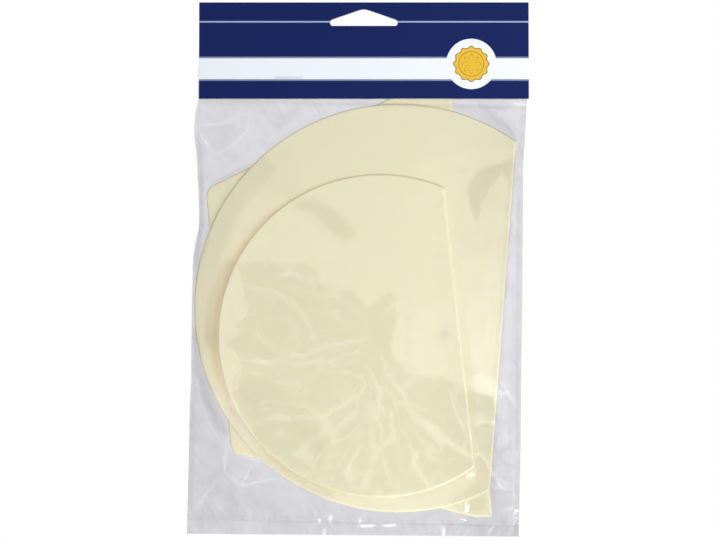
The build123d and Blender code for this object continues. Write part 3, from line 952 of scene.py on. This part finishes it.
def channel_air(u, v, bent_u, bent_v):
    """Air in the drawn channels, from 0 to 1."""
    soft_out, soft_in = -0.5 * mm, 0.55 * mm
    air = np.zeros(u.shape)
    for width, share, places in air_channels:
        away, along = line_distance(bent_u, bent_v, smooth_path(from_chart(places)))
        half = width * chart_unit * (0.45 + 0.55 * tapered(along, start=0, power=1))
        half = half * (0.55 + 0.9 * lattice_noise(u, v, cell=3.2 * mm, seed=9))
        broken = share * (0.55 + 0.45 * lattice_noise(u, v, cell=4 * mm, seed=10))
        air = np.maximum(air, broken * step_up(half - away, soft_out, soft_in))
    return air


def fan_rays(bent_u, bent_v):
    """Fine channels that spread downwards from the fan's hub, from 0 to 1."""
    start, full, opening, ray_spacing = 8 * mm, 26 * mm, 1.9, 46 * mm
    hub = from_chart(fan_hub)
    reach = np.hypot(bent_u - hub[0], bent_v - hub[1])
    bearing = np.arctan2(bent_u - hub[0], hub[1] - bent_v)
    rays = crumple(bearing * ray_spacing, 0.45 * reach, cell=5.5 * mm, seed=14)
    return step_up(rays, 0.55, 0.85) * step_up(reach, start, full) * (np.abs(bearing) < opening)


def cling_map(u, v):
    """How wet each place is, 1 where the film clings to the plastic, and how much air lies under it."""
    soft_out, soft_in = -0.3 * mm, 0.4 * mm
    bent_u, bent_v = bent_places(u, v)
    cling = np.zeros(u.shape)
    for outline in cling_zones:
        depth = zone_depth(bent_u, bent_v, from_chart(outline))
        cling = np.maximum(cling, step_up(depth, soft_out, soft_in))
    air = channel_air(u, v, bent_u, bent_v)
    wisps = 0.6 * step_up(crumple(bent_u, bent_v, cell=5.0 * mm, seed=12), 0.60, 0.85)
    air = np.maximum(air, wisps * step_up(lattice_noise(u, v, cell=12 * mm, seed=8), 0.40, 0.70))
    air = np.maximum(air, 0.4 * step_up(crumple(bent_u, bent_v, cell=2.6 * mm, seed=13), 0.70, 0.95))
    rays = 0.75 * fan_rays(bent_u, bent_v)
    air = np.maximum(air, rays * step_up(lattice_noise(u, v, cell=9 * mm, seed=15), 0.25, 0.65))
    return cling, air


def film_bounds(film, card, v, stack):
    """Depth of the film where it is held, and the depths that it can't go behind or in front of."""
    board_room, panel_gap, unbound = 0.36 * mm, 0.15 * mm, 1.0
    rise = (card.front_foot - card.front_top) / (card.top - card.foot)
    panel = card.front_foot - rise * (v + bag_origin[2] - card.foot) - board_room - film.thickness
    held = 2 * film.thickness + (film.press + film.thickness) * step_up(v, ramp_start, ramp_end)
    low = np.maximum(stack, held)
    return held, low, np.where(v > panel_start, np.maximum(panel - panel_gap, low), unbound)


def film_relief(film, u, v, open_film, sealed, wet_air):
    """Folds, air channels and creases of the front film, in metres."""
    flat_side = 2.5 * mm
    broad, narrow, pressed, channel = 0.30 * mm, 0.12 * mm, 0.05 * mm, 0.13 * mm
    folds = broad * crumple(u, v, cell=10 * mm, seed=21) + narrow * crumple(u, v, cell=4.2 * mm, seed=22)
    relief = open_film * folds
    relief += (1 - open_film) * (1 - sealed) * pressed * crumple(u, v, cell=8 * mm, seed=23)
    relief += channel * wet_air
    relief = add_creases(u, v, relief) * (1 - step_up(v, relief_end, relief_gone))
    return relief * step_up(from_sides(u), film.weld, film.weld + flat_side)


def front_surface(sheets, film, card, u, v):
    """Depth of the front film at each place, the numbers for its material, and the seal's ripple."""
    held_tuck = 9 * mm  # the bag's upper end lies pressed flat inside the card
    stack, clear = stack_front(sheets, film, u, v)
    held, low, high = film_bounds(film, card, v, stack)
    free = (v > film.end + film.seal) & (v < film.tuck - held_tuck)
    free[[0, -1]] = False
    free[:, [0, -1]] = False
    depth = relax(np.where(free, low, held), low, high, free)
    depth = soften(depth, low, free, rounds=6)
    ripple, sealed = seal_ripple(film, u, v), sealed_share(film, v)
    cling, air = cling_map(u, v)
    open_film = step_up(clear, -1.0 * mm, 3.0 * mm) * (1 - sealed)
    relief = film_relief(film, u, v, open_film, sealed, air * cling)
    depth = np.where(free, np.minimum(depth + relief, np.maximum(high, low)), depth)
    look = film_look(film, u, v, relief + ripple, cling * (1 - open_film), air, open_film)
    return depth + ripple, look, ripple


def slope(u, v, depth):
    """How steep a surface is at each place of the bag."""
    rise_v = np.gradient(depth, axis=0) / np.gradient(v, axis=0)
    rise_u = np.gradient(depth, axis=1) / np.gradient(u, axis=1)
    return np.hypot(rise_u, rise_v)


def drawn_lines(u, v, lines):
    """How strongly a set of drawn lines covers each place."""
    total = np.zeros(u.shape)
    for strength, width, places in lines:
        away, along = line_distance(u, v, smooth_path(from_chart(places)))
        ends = tapered(along, start=0.05, power=0.5)
        total = np.maximum(total, strength * ends * bell(away, width * chart_unit))
    return total


def drawn_zones(u, v, zones, outer, inner):
    """How strongly a set of drawn zones covers each place, in full at the inner depth. Overlaps add up."""
    total = np.zeros(u.shape)
    for strength, outline in zones:
        total += strength * step_up(zone_depth(u, v, from_chart(outline)), outer, inner)
    return total


def film_base(film, u, v, seed):
    """Haze and darkness that both films have: clouds, streaks, the hems and the end seal."""
    patches = lattice_noise(u, v, cell=13 * mm, seed=seed)
    small_patches = lattice_noise(u, v, cell=5 * mm, seed=seed + 1)
    streaks = crumple(0.8 * u + 0.6 * v, 0.35 * (0.8 * v - 0.6 * u), cell=3.2 * mm, seed=seed + 2)
    upright = crumple(u, 0.16 * v, cell=2.6 * mm, seed=seed + 6) - 0.4
    top = film.end + film.seal
    low = 1 - step_up(v, top - 1 * mm, top + 12 * mm)
    edge = from_sides(u)
    wave = 0.5 * mm * (lattice_noise(u, 0 * v, cell=9 * mm, seed=seed + 3) - 0.5)
    broken = 0.25 + 0.75 * lattice_noise(u, 0 * v, cell=6 * mm, seed=seed + 4)
    second_line = 1.9 * mm
    line = bell(v - top - wave, 0.5 * mm) + 0.5 * bell(v - top - second_line + wave, 0.4 * mm)
    veil = 0.030 + 0.025 * patches + 0.03 * streaks + 0.12 * np.maximum(-upright, 0) * low
    tone = 0.08 * bell(edge - film.hem, 0.3 * mm) + 0.07 * (edge < film.hem)
    tone += 0.5 * np.minimum(line * broken, 1)
    tone += 0.25 * (patches - 0.5) + 0.18 * (small_patches - 0.5) + 0.3 * (streaks - 0.35)
    tone += 0.5 * upright * low + 0.20 * sealed_share(film, v)
    tone += 0.14 * (1 - step_up(v, -185 * mm, -90 * mm))
    return veil, tone


def film_look(film, u, v, relief, cling, air, open_film):
    """Numbers for the front film's material: how hazy it is at each place, and how dark, with painted
    highlights in the haze and painted shade in the darkness.
    """
    veil, tone = film_base(film, u, v, seed=71)
    least, air_veil = 0.045, 0.048
    wet = cling * (1 - 0.9 * air)
    halo = cling * step_up(air, 0.08, 0.3) * (1 - step_up(air, 0.3, 0.55)) + cling * (1 - cling)

    # Haze: less over the sheets and where the film clings, more on air, steep folds and drawn lines; the
    # drawn lines hold painted glints and highlights
    veil = least + (veil - least) * (0.35 + 0.65 * open_film)
    veil = veil * (1 - 0.6 * wet) + air_veil * air * cling
    veil += 0.45 * step_up(slope(u, v, relief), 0.16, 0.8)
    veil += drawn_zones(u, v, pale_zones, -0.3 * mm, 0.5 * mm)
    veil += drawn_zones(u, v, pale_bands, -1.6 * mm, 1.6 * mm)
    veil += drawn_lines(u, v, wet_edges)
    veil = np.maximum(veil, drawn_lines(u, v, stress_lines_and_painted_glints))
    # painted highlight: a pale line of haze along the film just under the card's edge
    veil += 0.10 * open_film * bell(v - glare_height, 0.55 * mm)

    # Darkness: on open film and where it clings; painted shade under the card and towards the right, and in
    # the drawn lines and zones, which are mostly painted shade
    tone *= open_film
    tone += 0.20 * wet + 0.12 * halo + drawn_lines(u, v, painted_shade_lines)
    # painted shadow of the card on the film
    tone += 0.40 * bell(v - shadow_height, 1.0 * mm)
    # painted shade towards the right, against the brighter light there
    tone += step_up(u, 30 * mm, 74 * mm) * (0.15 + 0.22 * (1 - open_film))
    tone += drawn_zones(u, v, painted_shade_zones, -1.5 * mm, 1.5 * mm)
    tone += drawn_zones(u, v, shade_patches, -0.4 * mm, 0.5 * mm)
    return {"veil": veil, "tone": np.clip(tone, 0, 1)}


def back_look(film, u, v):
    """Numbers for the back film's material, with the painted shade lines at half strength."""
    veil, tone = film_base(film, u, v, seed=171)
    return {"veil": veil, "tone": np.clip(tone + 0.5 * drawn_lines(u, v, painted_shade_lines), 0, 1)}


def back_surface(film, u, v, ripple):
    """Depth of the back film: nearly flat, with soft folds where no sheet presses on it."""
    top, flat_reach = film.end + film.seal, 8 * mm
    broad, narrow = 0.22 * mm, 0.10 * mm
    folds = broad * crumple(u, v, cell=17 * mm, seed=61) + narrow * crumple(u, v, cell=7 * mm, seed=62)
    folds *= step_up(from_sides(u), 0, 6 * mm) * step_up(v, top, top + flat_reach)
    folds *= 1 - step_up(v, -12 * mm, -6 * mm)
    return film.press * step_up(v, ramp_start, ramp_end) + folds + ripple


def grid_faces(rows, columns):
    index = np.arange(rows * columns).reshape(rows, columns)
    quads = np.stack([index[:-1, :-1], index[:-1, 1:], index[1:, 1:], index[1:, :-1]], -1)
    return quads.reshape(-1, 4)


def add_film(name, node, u, v, depth, thickness, values, material):
    """A film of real thickness on a grid of places, with the numbers that its material reads."""
    points = bag_point(u, v, depth).reshape(-1, 3)
    piece = new_piece(name, points, grid_faces(*u.shape), "pack", node)
    for key, numbers in values.items():
        keep_values(piece, key, numbers)
    solid = piece.modifiers.new("Film Thickness", "SOLIDIFY")
    solid.thickness = thickness
    solid.offset = 1.0
    piece.data.materials.append(material)
    return piece


# Shader nodes


def node(tree, kind, settings=None, **inputs):
    """Adds a node. Inputs are numbers, colours or sockets, by the socket's name with _ for a space."""
    made = tree.nodes.new(kind)
    for key, value in (settings or {}).items():
        setattr(made, key, value)
    for key, value in inputs.items():
        plug(tree, made.inputs[key.replace("_", " ")], value)
    return made


def plug(tree, socket, value):
    if isinstance(value, bpy.types.NodeSocket):
        tree.links.new(value, socket)
    elif socket.type == "RGBA" and len(value) == 3:
        socket.default_value = (*value, 1.0)
    else:
        socket.default_value = value


def calc(tree, operation, *values, clamp=False):
    """A Math node on numbers or sockets."""
    made = tree.nodes.new("ShaderNodeMath")
    made.operation = operation
    made.use_clamp = clamp
    for socket, value in zip(made.inputs, values):
        plug(tree, socket, value)
    return made.outputs[0]


def blend_colour(tree, share, first, second):
    """One colour where share is 0 and another where it is 1."""
    made = tree.nodes.new("ShaderNodeMix")
    made.data_type = "RGBA"
    plug(tree, made.inputs[0], share)
    plug(tree, made.inputs[6], first)
    plug(tree, made.inputs[7], second)
    return made.outputs[2]


def mix_shader(tree, share, first, second):
    """The first shader where share is 0 and the second where it is 1."""
    made = node(tree, "ShaderNodeMixShader", Fac=share)
    tree.links.new(first.outputs[0], made.inputs[1])
    tree.links.new(second.outputs[0], made.inputs[2])
    return made


def stored(tree, name):
    """The number that a piece stores under a name for each of its points."""
    return node(tree, "ShaderNodeAttribute", {"attribute_name": name}).outputs["Fac"]


def grained(tree, clouds, base, spread):
    """A roughness that rises from a base with the fine grain."""
    return calc(tree, "MULTIPLY_ADD", clouds["Grain"], spread, base)


def seen_rays(tree):
    """1 for rays that reach the eye, straight, off gloss or through clear film, and 0 for others."""
    path = node(tree, "ShaderNodeLightPath").outputs
    straight = calc(tree, "MAXIMUM", path["Is Camera Ray"], path["Is Glossy Ray"])
    return calc(tree, "MAXIMUM", straight, path["Is Transmission Ray"])


def new_group(name, inputs, outputs):
    """An empty node group with number sockets, and its input and output nodes."""
    tree = bpy.data.node_groups.new(name, "ShaderNodeTree")
    for label, default in inputs.items():
        socket = tree.interface.new_socket(label, in_out="INPUT", socket_type="NodeSocketFloat")
        socket.default_value = default
    for label in outputs:
        tree.interface.new_socket(label, in_out="OUTPUT", socket_type="NodeSocketFloat")
    return tree, tree.nodes.new("NodeGroupInput").outputs, tree.nodes.new("NodeGroupOutput").inputs


def placed_group(tree, name, **inputs):
    made = tree.nodes.new("ShaderNodeGroup")
    made.node_tree = bpy.data.node_groups[name]
    for key, value in inputs.items():
        plug(tree, made.inputs[key.replace("_", " ")], value)
    return made.outputs


def make_cloud_group():
    """Soft clouds and a fine grain, for plastic, film and print."""
    sizes = {"Cloud Size": 30 * mm, "Grain Size": 0.6 * mm}
    tree, given, result = new_group("Soft Clouds", sizes, ["Cloud", "Grain"])
    place = node(tree, "ShaderNodeTexCoord").outputs["Object"]
    for size, detail, name in (("Cloud Size", 3.0, "Cloud"), ("Grain Size", 2.0, "Grain")):
        scale = calc(tree, "DIVIDE", 1.0, given[size])
        noise = node(tree, "ShaderNodeTexNoise", Vector=place, Scale=scale, Detail=detail, Roughness=0.55)
        tree.links.new(noise.outputs["Fac"], result[name])


def make_stripe_group():
    """A printed stripe: 1 within half its width of its middle, with a crisp edge."""
    sizes = {"Place": 0.0, "Middle": 0.0, "Width": 1.0 * mm, "Edge": 0.06 * mm}
    tree, given, result = new_group("Printed Stripe", sizes, ["Mask"])
    away = calc(tree, "ABSOLUTE", calc(tree, "SUBTRACT", given["Place"], given["Middle"]))
    room = calc(tree, "SUBTRACT", calc(tree, "MULTIPLY", given["Width"], 0.5), away)
    tree.links.new(calc(tree, "DIVIDE", room, given["Edge"], clamp=True), result["Mask"])


def new_material(name):
    material = bpy.data.materials.new(name)
    material.use_nodes = True
    material.node_tree.nodes.clear()
    return material, material.node_tree


def finish_material(tree, shader):
    node(tree, "ShaderNodeOutputMaterial", Surface=shader.outputs[0])


def plastic_material(sheets):
    """Smooth cream plastic, slightly translucent, lighter or browner where it is cut, as a painted highlight
    and painted shade on the cut edge.
    """
    material, tree = new_material("Cream Plastic")
    clouds = placed_group(tree, "Soft Clouds", Cloud_Size=35 * mm, Grain_Size=0.9 * mm)
    base = blend_colour(tree, clouds["Cloud"], sheets.deep_cream[:], sheets.cream[:])
    # painted highlight on the cut edge, strongest where it faces the lower right
    base = blend_colour(tree, stored(tree, "rim"), base, sheets.highlight_cream[:])
    # painted shade: the cut edge goes brown where it turns from the light
    shade_amount = calc(tree, "MULTIPLY", stored(tree, "brow"), sheets.shade_brown_share)
    base = blend_colour(tree, shade_amount, base, sheets.shade_brown[:])
    bump = node(tree, "ShaderNodeBump", Strength=0.04, Distance=0.05 * mm, Height=clouds["Grain"])
    shader = node(
        tree, "ShaderNodeBsdfPrincipled",
        Base_Color=base, Roughness=grained(tree, clouds, base=0.36, spread=0.12), IOR=1.47,
        Specular_IOR_Level=0.16, Normal=bump.outputs[0],
        Subsurface_Weight=0.12, Subsurface_Radius=sheets.scatter[:], Subsurface_Scale=0.5 * mm,
    )
    finish_material(tree, lamp_pass(tree, shader, sheets.let_through[:]))
    return material


def lamp_pass(tree, shader, tint):
    """A shader that lets a share of every lamp's light through, as thin plastic does."""
    through = node(tree, "ShaderNodeBsdfTransparent", Color=tint)
    return mix_shader(tree, node(tree, "ShaderNodeLightPath").outputs["Is Shadow Ray"], shader, through)


def film_material(film):
    """Clear glossy film with a pale haze over air, clearer where it clings to the plastic."""
    material, tree = new_material("Clear Film")
    clouds = placed_group(tree, "Soft Clouds", Cloud_Size=12 * mm, Grain_Size=0.4 * mm)
    bump = node(tree, "ShaderNodeBump", Strength=0.10, Distance=0.05 * mm, Height=clouds["Cloud"])
    haze = node(
        tree, "ShaderNodeBsdfPrincipled",
        Base_Color=film.haze[:], Roughness=grained(tree, clouds, base=0.10, spread=0.06), IOR=2.6,
        Normal=bump.outputs[0],
    )
    # the tone darkens the film towards dark: its own darker film, and painted shade
    tint = blend_colour(tree, stored(tree, "tone"), film.clear[:], film.dark[:])
    clear = node(tree, "ShaderNodeBsdfTransparent", Color=tint)
    share = calc(tree, "MAXIMUM", stored(tree, "veil"), 0.0, clamp=True)
    finish_material(tree, lamp_pass(tree, mix_shader(tree, share, clear, haze), film.lamp_light[:]))
    return material


def print_masks(tree, card):
    """Places across and up the card, and masks of its printed front and of all that is printed."""
    skin, fold_reach, upward = 0.08 * mm, 0.7 * mm, 0.1
    place = node(tree, "ShaderNodeTexCoord").outputs["Object"]
    x, y, z = node(tree, "ShaderNodeSeparateXYZ", Vector=place).outputs
    normal = node(tree, "ShaderNodeNewGeometry").outputs["True Normal"]
    up = node(tree, "ShaderNodeSeparateXYZ", Vector=normal).outputs[2]
    lean = (card.front_foot - card.front_top) / (card.top - card.foot)
    front = calc(tree, "MULTIPLY_ADD", calc(tree, "SUBTRACT", z, card.top), lean, -card.front_top)
    on_front = calc(tree, "LESS_THAN", calc(tree, "SUBTRACT", y, front), skin)
    on_rear = calc(tree, "GREATER_THAN", y, -card.rear - skin)
    at_fold = calc(tree, "GREATER_THAN", z, card.top - fold_reach)
    over = calc(tree, "MULTIPLY", at_fold, calc(tree, "GREATER_THAN", up, upward))
    printed = calc(tree, "MAXIMUM", calc(tree, "MAXIMUM", on_front, on_rear), over)
    return x, z, on_front, printed


def print_badge(tree, card, ink, x, z, on_front):
    """Prints the round badge and its gold rosette over the ink, on the front panel."""
    scallops, scallop_share = 12, 0.055
    petals, petal_share, heart_share, ring_share = 8, 0.40, 0.16, 0.74
    rim_line, fine_line = 0.5 * mm, 0.3 * mm
    radius = card.rosette_radius
    dx, dz = calc(tree, "SUBTRACT", x, card.badge_x), calc(tree, "SUBTRACT", z, card.badge_z)
    square = calc(tree, "ADD", calc(tree, "MULTIPLY", dx, dx), calc(tree, "MULTIPLY", dz, dz))
    away = calc(tree, "SQRT", square)
    angle = calc(tree, "ARCTAN2", dz, dx)
    scallop = calc(tree, "COSINE", calc(tree, "MULTIPLY", angle, float(scallops)))
    rim = calc(tree, "MULTIPLY_ADD", scallop, scallop_share * radius, radius)
    from_rim = calc(tree, "SUBTRACT", away, rim)
    petal = calc(tree, "ABSOLUTE", calc(tree, "COSINE", calc(tree, "MULTIPLY", angle, petals / 2)))
    petal_rim = calc(tree, "MULTIPLY_ADD", petal, petal_share * radius, heart_share * radius)
    disc = placed_group(tree, "Printed Stripe", Place=away, Middle=0.0, Width=2 * card.badge_radius)["Mask"]
    ink = blend_colour(tree, calc(tree, "MULTIPLY", disc, on_front), ink, card.white[:])
    gold = calc(tree, "MULTIPLY", calc(tree, "LESS_THAN", from_rim, 0.0), on_front)
    ink = blend_colour(tree, gold, ink, card.gold[:])
    outlines = [
        (from_rim, 0.0, rim_line),
        (away, ring_share * radius, fine_line),
        (calc(tree, "SUBTRACT", away, petal_rim), 0.0, fine_line),
    ]
    for place, middle, width in outlines:
        mask = placed_group(tree, "Printed Stripe", Place=place, Middle=middle, Width=width)["Mask"]
        ink = blend_colour(tree, calc(tree, "MULTIPLY", mask, on_front), ink, card.bronze[:])
    return ink


def card_material(card):
    """Printed board: navy with a fine line, a white band and a round badge with a gold rosette."""
    bare_rough, gloss_of_print = 0.75, 0.3
    material, tree = new_material("Printed Card")
    x, z, on_front, printed = print_masks(tree, card)
    stripes = [
        (card.line_height, card.line_width, card.line),
        (card.band_height, card.band_width + 2 * card.border, card.slate),
        (card.band_height, card.band_width, card.white),
    ]
    ink = (*card.navy, 1.0)
    for middle, width, tone in stripes:
        mask = placed_group(tree, "Printed Stripe", Place=z, Middle=middle, Width=width)["Mask"]
        ink = blend_colour(tree, mask, ink, tone[:])
    ink = print_badge(tree, card, ink, x, z, on_front)
    clouds = placed_group(tree, "Soft Clouds", Cloud_Size=20 * mm, Grain_Size=0.5 * mm)
    base = blend_colour(tree, printed, card.board[:], ink)
    rough = calc(tree, "MULTIPLY_ADD", printed, -gloss_of_print, bare_rough)
    bump = node(tree, "ShaderNodeBump", Strength=0.2, Distance=0.04 * mm, Height=clouds["Grain"])
    shader = node(
        tree, "ShaderNodeBsdfPrincipled",
        Base_Color=base, Roughness=grained(tree, clouds, base=rough, spread=0.12), Specular_IOR_Level=0.05,
        Normal=bump.outputs[0],
    )
    finish_material(tree, shader)
    return material


def staple_material(card):
    """Bright zinc wire, drawn along its length."""
    material, tree = new_material("Staple Wire")
    clouds = placed_group(tree, "Soft Clouds", Cloud_Size=4 * mm, Grain_Size=0.2 * mm)
    base = blend_colour(tree, clouds["Cloud"], card.dark_wire[:], card.bright_wire[:])
    rough = grained(tree, clouds, base=0.28, spread=0.2)
    shader = node(tree, "ShaderNodeBsdfPrincipled", Base_Color=base, Roughness=rough, Metallic=1.0)
    finish_material(tree, shader)
    return material


def dress(name, material):
    """Gives a CAD node its material."""
    mesh = frame["nodes"][name].data
    mesh.materials.clear()
    mesh.materials.append(material)


class PACK_OT_shared_nodes(bpy.types.Operator):
    """Makes the node groups that several materials use."""

    bl_idname = "pack.shared_nodes"
    bl_label = "Shared Nodes"

    def execute(self, context):
        make_cloud_group()
        make_stripe_group()
        return {"FINISHED"}


class PACK_OT_smoothers(bpy.types.Operator):
    """Makes the three plastic sheets."""

    bl_idname = "pack.smoothers"
    bl_label = "Smoothers"

    def execute(self, context):
        sheets = context.scene.pack_sheets
        material = plastic_material(sheets)
        profile = edge_profile(sheets)
        radii = (
            sheets.rear_sharp, sheets.rear_sharp, sheets.rear_shoulder,
            sheets.rear_corner, sheets.rear_corner, sheets.rear_shoulder,
        )
        layouts = (
            ("small", d_outline(sheets.small_radius, sheets.small_cut, sheets.corner), curl(sheets)),
            ("large", d_outline(sheets.large_radius, sheets.large_cut, sheets.corner), flat),
            ("rear", rounded_outline(rear_corners(sheets), radii), flat),
        )
        for name, outline, bow in layouts:
            points, faces = sheet_mesh(outline, profile, sheets.mesh_step, bow)
            place, turn, depth = sheet_lay(sheets, name)
            laid = lay_sheet(points, place, turn, depth)
            piece = new_piece(
                name + "_smoother_sheet", laid, faces, name + "_sheet", name + "_smoother"
            )
            # painted highlight where the cut edge faces the lower right, painted shade where it turns from
            # the light
            keep_values(piece, "rim", ring_values(outline, turn, len(points), painted_edge_highlight, painted_highlight_shares))
            keep_values(piece, "brow", ring_values(outline, turn, len(points), painted_edge_shade, painted_shade_shares))
            piece.data.materials.append(material)
        return {"FINISHED"}


class PACK_OT_bag(bpy.types.Operator):
    """Makes the front and back film of the bag."""

    bl_idname = "pack.bag"
    bl_label = "Clear Bag"

    def execute(self, context):
        sheets, film, card = context.scene.pack_sheets, context.scene.pack_film, context.scene.pack_card
        u, v = film_grid(film)
        depth, look, ripple = front_surface(sheets, film, card, u, v)
        material = film_material(film)
        add_film("front_film", "bag_front_film", u, v, depth, film.thickness, look, material)
        rear = back_surface(film, u, v, ripple)
        add_film("back_film", "bag_back_film", u, v, rear, film.thickness, back_look(film, u, v), material)
        return {"FINISHED"}


class PACK_OT_header_card(bpy.types.Operator):
    """Prints the folded card."""

    bl_idname = "pack.header_card"
    bl_label = "Header Card"

    def execute(self, context):
        dress("header_card", card_material(context.scene.pack_card))
        return {"FINISHED"}


class PACK_OT_staple(bpy.types.Operator):
    """Finishes the staple."""

    bl_idname = "pack.staple"
    bl_label = "Staple"

    def execute(self, context):
        dress("staple", staple_material(context.scene.pack_card))
        return {"FINISHED"}


def aim(thing, place, target):
    thing.location = place
    thing.rotation_euler = (Vector(target) - Vector(place)).to_track_quat("-Z", "Y").to_euler()


def add_lamp(name, place, target, power, size):
    lamp = bpy.data.lights.new(name, "AREA")
    lamp.shape = "SQUARE"
    lamp.energy = power
    lamp.size = size
    thing = bpy.data.objects.new(name, lamp)
    bpy.context.scene.collection.objects.link(thing)
    aim(thing, place, target)


def floor_material(studio):
    """Pale matt floor that keeps shadows near the pack and is white to the eye further out."""
    material, tree = new_material("Pale Floor")
    place = node(tree, "ShaderNodeTexCoord").outputs["Object"]
    away = node(tree, "ShaderNodeVectorMath", {"operation": "LENGTH"}, Vector=place).outputs["Value"]
    past = calc(tree, "SUBTRACT", away, studio.floor_near)
    far = calc(tree, "DIVIDE", past, studio.floor_fade, clamp=True)
    share = calc(tree, "MULTIPLY_ADD", far, -studio.floor_shade, studio.floor_shade)
    glow = node(tree, "ShaderNodeEmission", Color=(1.0, 1.0, 1.0), Strength=1.0)
    matt = node(tree, "ShaderNodeBsdfDiffuse", Color=(0.95, 0.95, 0.95))
    shown = mix_shader(tree, share, glow, matt)
    finish_material(tree, mix_shader(tree, seen_rays(tree), matt, shown))
    return material


def set_world(strength):
    """A white world to the eye and in gloss, and a softer light on the pack."""
    world = bpy.data.worlds.new("Studio")
    bpy.context.scene.world = world
    world.use_nodes = True
    tree = world.node_tree
    tree.nodes.clear()
    power = calc(tree, "MULTIPLY_ADD", seen_rays(tree), 1.0 - strength, strength)
    light = node(tree, "ShaderNodeBackground", Color=(1.0, 1.0, 1.0), Strength=power)
    node(tree, "ShaderNodeOutputWorld", Surface=light.outputs[0])


class PACK_OT_studio(bpy.types.Operator):
    """Sets the camera, lamps, floor and world."""

    bl_idname = "pack.studio"
    bl_label = "Studio"

    def execute(self, context):
        studio = context.scene.pack_studio
        middle_x = (chart_size[0] / 2 - chart_zero[0]) * chart_unit
        middle_z = (chart_zero[1] - chart_size[1] / 2) * chart_unit
        lens = bpy.data.cameras.new("Camera")
        lens.lens = studio.lens
        camera = bpy.data.objects.new("Camera", lens)
        context.scene.collection.objects.link(camera)
        away = chart_size[0] * chart_unit * studio.lens / lens.sensor_width
        face = -studio.target_depth
        aim(camera, (middle_x, face - away, middle_z), (middle_x, face, middle_z))
        context.scene.camera = camera

        centre = Vector((middle_x, face, middle_z))
        for name in ("key", "glint", "fill", "back"):
            power, size = getattr(studio, name + "_power"), getattr(studio, name + "_size")
            add_lamp(name.title(), centre + Vector(getattr(studio, name + "_place")), centre, power, size)

        mesh = bpy.data.meshes.new("floor")
        shape = bmesh.new()
        bmesh.ops.create_circle(shape, cap_ends=True, segments=96, radius=studio.floor_radius)
        shape.to_mesh(mesh)
        shape.free()
        mesh.materials.append(floor_material(studio))
        floor = bpy.data.objects.new("floor", mesh)
        floor.location = (0, 0, studio.floor)
        context.scene.collection.objects.link(floor)
        set_world(studio.world)
        context.scene.view_settings.view_transform = "Standard"
        return {"FINISHED"}


class PACK_PT_sidebar(bpy.types.Panel):
    """Steps that make the pack, in order."""

    bl_label = "Smoother Pack"
    bl_idname = "PACK_PT_sidebar"
    bl_space_type = "VIEW_3D"
    bl_region_type = "UI"
    bl_category = "Smoother Pack"

    def draw(self, context):
        for operator in steps:
            self.layout.operator(operator.bl_idname)


steps = (
    PACK_OT_shared_nodes,
    PACK_OT_studio,
    PACK_OT_smoothers,
    PACK_OT_bag,
    PACK_OT_header_card,
    PACK_OT_staple,
)
settings = {
    "pack_sheets": SheetSettings,
    "pack_film": FilmSettings,
    "pack_card": CardSettings,
    "pack_studio": StudioSettings,
}


def register():
    for kind in (*settings.values(), *steps, PACK_PT_sidebar):
        bpy.utils.register_class(kind)
    for name, kind in settings.items():
        setattr(bpy.types.Scene, name, PointerProperty(type=kind))


def unregister():
    for name in settings:
        delattr(bpy.types.Scene, name)
    for kind in reversed((*settings.values(), *steps, PACK_PT_sidebar)):
        bpy.utils.unregister_class(kind)


def main():
    register()
    bpy.ops.pack.shared_nodes()
    bpy.ops.pack.studio()
    bpy.ops.pack.smoothers()
    bpy.ops.pack.bag()
    bpy.ops.pack.header_card()
    bpy.ops.pack.staple()


if __name__ == "__main__":
    main()
